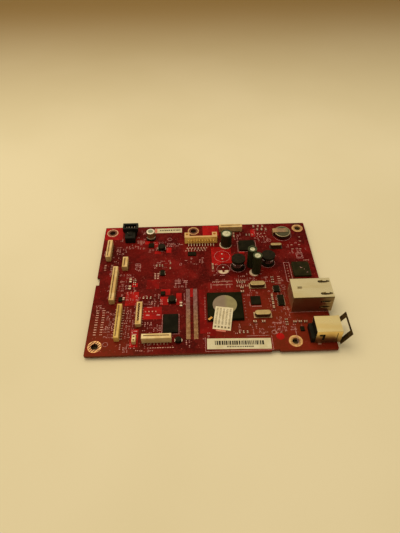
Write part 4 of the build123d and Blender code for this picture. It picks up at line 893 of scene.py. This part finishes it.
# %% Clusters of small pads
clusters = [
    # low column, low row, high column, high row, share of places in use
    (40, 92.5, 57, 97.5, 0.6), (32, 87, 49, 99, 0.55), (10.5, 85.5, 18.5, 94.5, 0.8), (19, 91, 31, 99, 0.4),
    (24.5, 97, 31, 112, 0.7), (12.5, 99, 17.5, 103, 0.6), (60, 93, 72, 95, 0.5), (25.2, 68, 30, 78, 0.6),
    (38, 71, 52, 79, 0.5), (53, 52, 62, 61, 0.55), (15.4, 42, 27.4, 66, 0.65), (27, 36, 46, 47, 0.6),
    (56, 35, 61, 47, 0.6), (9.6, 12, 15.6, 34, 0.6), (20.2, 12, 28.6, 37, 0.85), (34, 14.6, 46, 24, 0.7),
    (20, 1.6, 41, 8.4, 0.5), (60, 4, 70, 9.4, 0.5), (71, 9, 76, 15, 0.6), (77, 51, 94, 59.4, 0.4),
    (94, 50, 104, 62, 0.6), (79, 60, 84, 74, 0.4), (99, 43, 109, 51, 0.6), (115, 30, 127.4, 61, 0.4),
    (112, 94, 123, 115, 0.7), (95, 96.6, 103, 107, 0.6), (135, 82, 149, 94, 0.3), (91, 12.4, 122, 21, 0.35),
    (115, 12, 134, 31, 0.35), (100, 56, 116, 64, 0.35), (60, 73.4, 74, 81, 0.4), (2.6, 33.4, 8, 39.4, 0.5),
    (76, 93, 86, 102, 0.25), (103, 77, 113, 83.6, 0.4), (8, 34, 14, 84, 0.2),
]
COLUMNS_APART, ROWS_APART = 2.1, 2.0
OFF_GRID = 0.35, 0.65                 # where in its cell of the grid a pair may stand
UPRIGHT_SHARE, TICKED_SHARE = 0.55, 0.3
PAIR_REACH = 0.95 * MM                # the bare board that a pair needs round its middle
HALF_PAIR, TICK_ASIDE = 0.55 * MM, 0.75 * MM
right_way, up_way = Vector((1, 0, 0)), Vector((0, 1, 0))
pair_marks, tick_marks = [], []
for low_column, low_row, high_column, high_row, share in clusters:
    columns_used = max(1, round((high_column - low_column) / COLUMNS_APART))
    rows_used = max(1, round((high_row - low_row) / ROWS_APART))
    for i in range(columns_used * rows_used):
        right, up = i % columns_used + dice.uniform(*OFF_GRID), i // columns_used + dice.uniform(*OFF_GRID)
        upright, used, ticked = (dice.random() < limit for limit in (UPRIGHT_SHARE, share, TICKED_SHARE))
        spot = place(low_column + right * (high_column - low_column) / columns_used,
                     low_row + up * (high_row - low_row) / rows_used)
        if not used or not bare_at(spot, PAIR_REACH):
            continue
        way, aside = (up_way, right_way) if upright else (right_way, up_way)
        size = (0.62 * MM, 0.48 * MM) if upright else (0.48 * MM, 0.62 * MM)
        pair_marks += [(spot + side * way * HALF_PAIR, *size, 0.0) for side in (1, -1)]
        if ticked:
            size = (0.2 * MM, 1.3 * MM) if upright else (1.3 * MM, 0.2 * MM)
            tick_marks.append((spot + aside * TICK_ASIDE, *size, 0.0))
cloudy("small_pad_tin", (198, 138, 118), (132, 70, 62), 0.45, 0.2, 0.3, 2.6)
stamp_out(PAD_LEVEL, pair_marks, "small_pads", "small_pad_tin")

# %% [markdown]
# ### Plated through-holes
#
# Tracks change sides through tiny plated holes. Under lacquer each shows as a pale dot, smaller than a pinhead. A
# low disc with eight corners is enough for something half a millimetre wide, and the dice spread them.

# %% Through-holes
def spread_holes(count, radius, name, way=DOWN):
    """Dots of plating, spread by the dice wherever one side of the board is bare."""
    marks = []
    while len(marks) < count:
        spot = place(dice.uniform(2, 150), dice.uniform(2, 114))
        if way == UP:
            spot.z = board_low.z - LOW_LEVEL
        if bare_at(spot, 0.3 * MM, way):
            marks.append((spot, 1.0, 1.0, 0.0))
    settle(stamps(disc(ORIGIN, radius, LOW_LEVEL, 8), marks), name, "via_tin")


cloudy("via_tin", (170, 84, 62), (112, 40, 28), 0.45, 0.1, 0.3, 3, 0.004)
spread_holes(420, 0.22 * MM, "plated_holes")

# %% [markdown]
# ### The soldered side
#
# The underside carries small pads and plated holes too, between the joints of the pins above. The plumb line, held
# upside down, keeps them clear of the joints. Nothing here is printed, since nobody reads this side.

# %% Pads and holes on the underside
busy_columns, busy_rows = (30, 60, 95, 125), (20, 40, 75, 95)
UNDER_COUNT, COLUMN_SPREAD, ROW_SPREAD = 560, 9, 8
under_marks = []
while len(under_marks) < UNDER_COUNT:
    spot = place(dice.gauss(dice.choice(busy_columns), COLUMN_SPREAD), dice.gauss(dice.choice(busy_rows), ROW_SPREAD))
    spot.z = board_low.z - LOW_LEVEL
    way = up_way if dice.random() < 0.5 else right_way
    if bare_at(spot, 1.0 * MM, UP):
        under_marks += [(spot + side * way * HALF_PAIR, 0.6 * MM, 0.5 * MM, 0.0) for side in (1, -1)]
stamp_out(LOW_LEVEL, under_marks, "underside_pads", "small_pad_tin")
spread_holes(300, 0.25 * MM, "underside_holes", UP)

# %% [markdown]
# ### Printed rings and frames
#
# White ink marks where each part goes: rings round cans and coils, frames round chips, short bars beside small
# parts. Words and codes are left off, and plain bars take their place. Rings and frames are built one by one,
# because a stamp that is stretched would stretch its line too.

# %% Printed rings and frames
cloudy("ink", (214, 158, 140), (170, 110, 96), 0.6, 0.0, 0.15, 0.7, 0.004)
printed_rings = [
    # column, row, radius
    (87.3, 81.5, 5.6), (87.3, 68.5, 4.6), (97.6, 70.5, 5.3), (118.9, 73.9, 5.3), (133.6, 102.8, 6.8),
    (43.6, 91.2, 3), (12, 8, 1.6), (49.3, 101, 1.6), (122.7, 97, 1.7), (142.7, 80, 1.8),
    (27.4, 71.4, 1.7), (126.6, 51, 1.3), (115.2, 13.6, 1.5), (57.4, 74.6, 1),
]
printed_frames = [
    # column, row, length, width
    (142.7, 80, 4.6, 5.4), (132, 64.2, 4, 18.6), (51.3, 22, 10.8, 15.6), (27.2, 75.2, 3.2, 2.4),
    (105.9, 91.2, 13.6, 11.6),
]
printed = [ring(place(column, row), radius) for column, row, radius in printed_rings]
printed.append(ring(place(5.7, 109.8), 4.1, 0.3))
printed += [outline(place(column, row), *size) for column, row, *size in printed_frames]
settle(printed, "printed_outlines", "ink")

# %% [markdown]
# ### Printed bars
#
# Short bars of ink stand for words and codes, and long thin ones run along the feet of the large parts. The ticks
# beside the small pads are bars too. One plate is stamped for all of them, since only their sizes differ.

# %% Printed bars
printed_bars = [
    # column, row, length, width
    (51.8, 95.6, 4.2, 0.3), (57.6, 95, 3, 0.3), (36.6, 29.6, 2.2, 0.7), (43.4, 29.6, 2.2, 0.7),
    (118, 20.6, 6, 0.3), (37.4, 36, 3.4, 0.3), (2.5, 87.5, 0.3, 5), (119, 82, 4, 0.3), (86.4, 62.6, 3.4, 0.3),
    (124.6, 80.4, 2.6, 0.25), (106.8, 34.4, 6.4, 0.3), (102.6, 36.4, 0.25, 3.6), (29.6, 17.3, 2.2, 0.6),
    (29.4, 14.9, 2.2, 0.6), (112, 63, 3, 0.25), (145, 62, 1.6, 0.3),
    # Along the feet of the network and USB jacks, and round the bar-code label
    (139.4, 28.6, 25, INK_LINE), (128.6, 10.7, INK_LINE, 13.6), (105, 11.3, 14, INK_LINE),
    (92.9, 0.9, 40.6, INK_LINE), (72.6, 6, INK_LINE, 10.2), (113.2, 6, INK_LINE, 10.2),
]
bar_rows = [
    # column and row of the first, pitch, how many, length, width; the last two stand beside the processor
    (55.6, 59.2, -1.5, 3, 4, 0.35), (60.8, 58.4, -1.5, 2, 3, 0.35),
    (73.4, 25, 1.3, 15, 0.9, 0.25), (99.2, 25.6, 2.6, 7, 0.8, 0.2),
]
bar_marks = [mark(*bar) for bar in printed_bars] + [bar for bars in bar_rows for bar in even_row(*bars)]
stamp_out(PRINT_LEVEL, bar_marks + tick_marks, "printed_bars", "ink")

# %% [markdown]
# ### Crescents beside the capacitors
#
# A filled half circle shows which side of a capacitor is the negative one. The ink runs under the can, so only a
# crescent shows. The board is printed before its parts go on, but in the model two bodies can't share a place. We
# fill the whole circle and cut away what a part covers, with a cylinder and a Boolean. Insetting would not do,
# because the circle and the can don't share a middle. Where a capacitor was left off, the half circle shows whole.

# %% Crescents
cloudy("crescent_ink", (216, 186, 142), (186, 150, 110), 0.6, 0.0, 0.15, 1.2, 0.004)
wide_crescent = cut_round(disc(place(90.5, 93.6), 4.55 * MM, PRINT_LEVEL, 48), place(90.9, 94.0), 4.1 * MM)
slim_crescent = cut_round(disc(place(108.5, 64.4), 3.4 * MM, PRINT_LEVEL, 48), place(109.8, 65.2), 3.1 * MM)
half_circle = disc(place(87.3, 67.6), 3.7 * MM, PRINT_LEVEL * 0.8, 48)
block_side = 30 * MM
half_circle = cut(half_circle, add_primitive("cube", size=block_side,
                                             location=place(87.3, 67.4) + up_way * (block_side / 2)))
half_circle = cut_round(half_circle, place(87.3, 66.6), 0.9 * MM)
settle([wide_crescent, slim_crescent, half_circle], "printed_crescents", "crescent_ink")

# %% [markdown]
# ### What the labels say
#
# The label at the front edge carries a bar code, and the one at the rear a line of print. Both are plain stamped
# bars on the label's top: their widths come from the dice, and they stand for no number. The rear label has a pink
# patch, and under the foot of the slanted label the edge of an older pink one shows.

# %% Bars on the labels
label_places = {"barcode_label": (place(92.95, 5.85), math.radians(-1.3)), "rear_label": (place(47.9, 111.0), 0.0)}


def on_label(node, right, up, length, width):
    """A mark on a label's top, placed from the label's own middle and turned with it."""
    centre, turn = label_places[node]
    moved = Matrix.Rotation(turn, 3, "Z") @ Vector((right * MM, up * MM, 0))
    return Vector((centre.x + moved.x, centre.y + moved.y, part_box(node)[1].z)), length * MM, width * MM, turn


def code_bars(node, up, height, start, end, narrow, wide, least_gap, most_gap):
    """Bars along a label from start to end, as wide and as far apart as the dice fall."""
    bars, right = [], start
    while right < end:
        thick = dice.uniform(narrow, wide)
        bars.append(on_label(node, right + thick / 2, up, thick, height))
        right += thick + dice.uniform(least_gap, most_gap)
    return bars


cloudy("print_ink", (58, 48, 30), (36, 30, 18), 0.6, 0.0, 0.15, 0.6, 0.004)
label_marks = code_bars("barcode_label", 0.65, 3, -14.6, 15.2, 0.3, 1.25, 0.25, 0.6)
label_marks += code_bars("barcode_label", -2.1, 0.9, -7.3, 8, 0.4, 0.9, 0.3, 0.6)
label_marks += code_bars("rear_label", 0.3, 1.5, -6.4, 9.2, 0.5, 1.1, 0.4, 0.7)
stamp_out(PAPER_LEVEL, label_marks, "label_bars", "print_ink")
cloudy("rear_patch", (208, 120, 92), (190, 96, 72), 0.6, 0.0, 0.15, 1, 0.004)
older_turn = math.radians(-9.7)
older_foot = slant_place + Matrix.Rotation(older_turn, 3, "Z") @ Vector((-1.6 * MM, -0.75 * MM, 0))
patch_marks = [on_label("rear_label", -9.3, 0, 1.8, 4.2), (older_foot, 8.6 * MM, 1.2 * MM, older_turn)]
stamp_out(PAPER_LEVEL, patch_marks, "pink_patches", "rear_patch")

# %% [markdown]
# ### Marks on the tops of parts
#
# A dab of orange paint marks a corner of the processor, as it does once a board has passed its test. A small chip
# at the right edge has three flecks of ink, and two slanted contacts and a third spot shine white in the black
# socket. The plumb line finds the top of whatever each mark lies on.

# %% Marks on parts
def on_top(column, row, length, width, turn=0.0):
    """A mark lying on whatever stands at a place of the grid, turned by degrees."""
    spot, *size = mark(column, row, length, width, math.radians(turn))
    spot.z = landing(spot)
    return spot, *size


cloudy("dab_paint", (226, 164, 74), (206, 138, 54), 0.5, 0.0, 0.3, 1)
top_marks = {
    "paint_dab": ([(76.3, 24.1, 3.0, 1.4, 38)], "dab_paint", "paper_label"),
    "chip_marks": ([(141.2, 66.8, 1.7, 0.35, -28), (144.8, 62.2, 0.8, 0.4), (143.2, 65.2, 0.35, 0.35)],
                   "ink", "paper_label"),
    "black_socket_glints": ([(20.2, 107.1, 0.5, 1.3, 24), (21.6, 108.0, 0.45, 1.2, 20), (18.0, 104.2, 0.5, 0.5)],
                            "tinned_pin", "bright_pin"),
}
for name, (marks, finish, slot) in top_marks.items():
    stamp_out(LOW_LEVEL, [on_top(*where) for where in marks], name, finish)

# %% [markdown]
# ### Tips of the socket contacts
#
# Each contact ends in a tip bent over the slit, where the flat cable slides in between the tips. The tips are small
# bars at the contacts' pitch, just above the CAD stems. In the widest socket they stagger from side to side, and a
# small key stands in its trough.

# %% Contact tips
cloudy("tip_metal", (176, 134, 76), (120, 82, 44), 0.45, 0.4, 0.4, 1.5, 0.004)
socket_runs = [
    # column and row of the slit's middle, how many tips, the housing's height, runs across the board, staggers
    (5.65, 88.4, 15, 4.6, False, False), (18.25, 74.7, 7, 4.1, False, False), (12.25, 54.9, 28, 4.3, False, False),
    (18.25, 23.2, 24, 4.2, False, False), (30.92, 29.6, 15, 3, False, True), (43.1, 10.25, 15, 4.9, True, False),
    (95.2, 109.95, 14, 4.7, True, False),
]
TIP_WIDTH, TIP_BELOW_TOP, STAGGER = 0.5, 0.34, 0.3
tip_marks = []
for column, row, tip_count, height, across_board, staggered in socket_runs:
    tip_length = 0.6 if staggered else 0.7
    for i in range(tip_count):
        along = i - (tip_count - 1) / 2
        aside = (STAGGER if i % 2 else -STAGGER) if staggered else 0.0
        if across_board:
            spot, *size = mark(column + along, row + aside, TIP_WIDTH, tip_length)
        else:
            spot, *size = mark(column + aside, row + along, tip_length, TIP_WIDTH)
        spot.z = board_top + (height - TIP_BELOW_TOP) * MM
        tip_marks.append((spot, *size))
stamp_out(0.1 * MM, tip_marks, "contact_tips", "tip_metal")
key_spot = place(30.92, 22.6, 2.5 * MM)
stamp_out(0.3 * MM, [(key_spot, 1.2 * MM, 1.5 * MM, 0.0)], "trough_key", "yellow_plastic")

# %% [markdown]
# ### Wire on the two drum coils
#
# CAD gives each drum's winding as a plain cylinder. The real one is enamelled copper wire laid turn upon turn. We
# start from the wire's round section, set it beside the axis, and let the Screw modifier wind it: one turn raises
# it by its own thickness, so the turns touch. A stack of rings would look alike from afar, but wire climbs.

# %% Wound wire
wire_section = 0.25 * MM
winding_low, winding_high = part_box("drum_windings")
winding_height = winding_high.z - winding_low.z
drum_places = [place(97.6, 70.5), place(118.9, 73.9)]
winding_radius = drum_places[0].x - winding_low.x
wire_radius = winding_radius - wire_section
section = add_primitive("circle", radius=wire_section, vertices=10, location=(wire_radius, 0, 0),
                        rotation=(math.radians(90), 0, 0))
bpy.ops.object.transform_apply(location=True, rotation=True, scale=True)
winder = section.modifiers.new("winder", "SCREW")
winder.axis = "Z"
winder.angle = math.radians(360)
winder.screw_offset = 2 * wire_section
winder.iterations = int(winding_height / (2 * wire_section)) - 1
winder.steps = 32
winder.use_merge_vertices = False
bpy.ops.object.modifier_apply(modifier=winder.name)
bpy.ops.object.mode_set(mode="EDIT")
close_open_edges()
bpy.ops.object.shade_smooth()
# The layers beneath fill the drum, so no light comes through between the turns
beneath = add_primitive("cylinder", radius=wire_radius, depth=winding_height, vertices=40)
coil_middle = (winding_low.z + winding_high.z) / 2
coils = []
for spot in drum_places:
    coils.append(twin(section, Matrix.Translation((spot.x, spot.y, winding_low.z + 1.5 * wire_section))))
    coils.append(twin(beneath, Matrix.Translation((spot.x, spot.y, coil_middle))))
discard(section, beneath)
wound = settle(coils, "wound_wire", "wire_enamel")
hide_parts("drum_windings")

# %% [markdown]
# ### Painted glints on the wire
#
# Near-white flecks on the winding's front stand for glints of light on the wire: they are painted highlights. Each is
# a small plate, set against the winding and turned with it. A tube would look the same at this size.

# %% Painted glints on the wire
# Painted highlights: near-white plates stand for glints on the winding
cloudy("glint_white", (244, 226, 200), (206, 180, 150), 0.3, 0.3, 0.5, 0.8)
glint_angles = [(205, 218, 231, 300, 312), (215, 292, 304, 316)]
glint_marks = []
for spot, angles in zip(drum_places, glint_angles):
    for angle in angles:
        outward = Matrix.Rotation(math.radians(angle), 3, "Z") @ right_way
        centre = Vector((spot.x, spot.y, coil_middle + 0.4 * MM)) + outward * (winding_radius + 0.1 * MM)
        glint_marks.append((centre, 1.2 * MM, 0.34 * MM, math.radians(angle + 90)))
stamp_out(0.5 * MM, glint_marks, "painted_wire_glints", "glint_white")

# %% [markdown]
# ### Solder on the pins left bare
#
# Where a capacitor was left off, its holes are closed with solder, which stands up as a small dome. We take a
# sphere, delete its lower half, close the bottom and flatten it.

# %% Solder domes
dome = add_primitive("uv_sphere", segments=16, ring_count=8, radius=1.0)
bpy.ops.object.mode_set(mode="EDIT")
bpy.ops.mesh.select_mode(type="FACE")
bpy.ops.mesh.select_all(action="DESELECT")
bpy.ops.object.mode_set(mode="OBJECT")
for face in dome.data.polygons:
    face.select = face.center.z < 0
bpy.ops.object.mode_set(mode="EDIT")
bpy.ops.mesh.delete(type="FACE")
close_open_edges()
dome.scale = (1, 1, 0.4 * MM)
bpy.ops.object.transform_apply(location=False, rotation=False, scale=True)
dome_marks = [mark(87.3, row, 0.75, 0.75) for row in (83.9, 78.9, 70.2)]
settle(stamps(dome, dome_marks), "solder_domes", "solder")

# %% [markdown]
# ## Stage
#
# The floor is pale, with painted shade: it is painted darker toward the far side, as painted light fall-off, and it
# is painted darker beneath the mounting holes, where little light comes down through them.

# %% Floor
floor = add_primitive("plane", size=8.0, location=(0, 0, floor_level))
floor.name = "floor"
start("floor_paint", 0.8, 0.0, 0.1)
colour(cloud(0.2), (224, 204, 155), (229, 209, 161))
# Painted light fall-off: the floor is painted darker toward the far side
painted_far_shade = soft_step(measure(spot_on(), "Y"), 0.12, 0.66)
tint(painted_far_shade, (140, 108, 56))
# Painted shade beneath the mounting holes
painted_hole_shade = soft_step(nearest_axis(mounting_holes), 7 * MM, 4 * MM)
tint(painted_hole_shade, (84, 68, 40))
grain(0.02 * MM, 0.5 * MM)
floor.data.materials.append(finishes["floor_paint"])
print("floor", round(floor.dimensions.x, 1), "m wide")

# %% [markdown]
# ### Lamps and sky
#
# A wide soft lamp overhead and an even sky light the board at a plain level, so that a colour renders about as it
# is written. The camera sees a backdrop of the floor's own colour in place of that sky. One sky for both would be
# simpler, but then either the backdrop or the light would be wrong.

# %% Lamps and sky
SOFT_WHITE = (1.0, 0.97, 0.92)
sky = bpy.data.worlds.new("sky")
scene.world = sky
sky.use_nodes = True
sky_nodes, link = sky.node_tree.nodes, sky.node_tree.links.new
sky_light = sky_nodes["Background"]
sky_light.inputs["Color"].default_value = (*SOFT_WHITE, 1.0)
sky_light.inputs["Strength"].default_value = 0.56
backdrop = sky_nodes.new("ShaderNodeBackground")
backdrop.inputs["Color"].default_value = paint((226, 205, 154))
rays = sky_nodes.new("ShaderNodeLightPath")
seen = sky_nodes.new("ShaderNodeMixShader")
for index, output in enumerate((rays.outputs["Is Camera Ray"], sky_light.outputs[0], backdrop.outputs[0])):
    link(output, seen.inputs[index])
link(seen.outputs[0], sky_nodes["World Output"].inputs["Surface"])
lamp_data = bpy.data.lights.new("overhead_lamp", "AREA")
lamp_data.shape = "DISK"
lamp_data.size = 0.9
lamp_data.energy = 5.65
lamp_data.color = SOFT_WHITE
lamp = bpy.data.objects.new("overhead_lamp", lamp_data)
scene.collection.objects.link(lamp)
lamp.location = (-0.25, 0.25, 0.95)
lamp.rotation_euler = (ORIGIN - lamp.location).to_track_quat("-Z", "Y").to_euler()
print("lamp", lamp_data.energy, "W, sky", sky_light.inputs["Strength"].default_value)

# %% [markdown]
# ### Camera
#
# The camera looks down on the front edge, as one holds a board to check it. Its place and angles were fitted to
# the board's corners and to the two jacks, whose sizes are standard.

# %% Camera
ROLL, TILT, SWING = -0.019, 0.775, -0.013  # about the line of sight, up, and about the upright, in radians
camera_data = bpy.data.cameras.new("camera")
camera_data.sensor_width = 36.0
camera_data.lens = 30.61
camera = bpy.data.objects.new("camera", camera_data)
scene.collection.objects.link(camera)
camera.location = (-0.007842, -0.209399, 0.229505)
camera.rotation_euler = (Matrix.Rotation(SWING, 4, "Z") @ Matrix.Rotation(TILT, 4, "X")
                         @ Matrix.Rotation(ROLL, 4, "Z")).to_euler()
scene.camera = camera
scene.view_settings.view_transform = "Standard"
print("camera", round(camera.location.length, 3), "m from the board's middle")
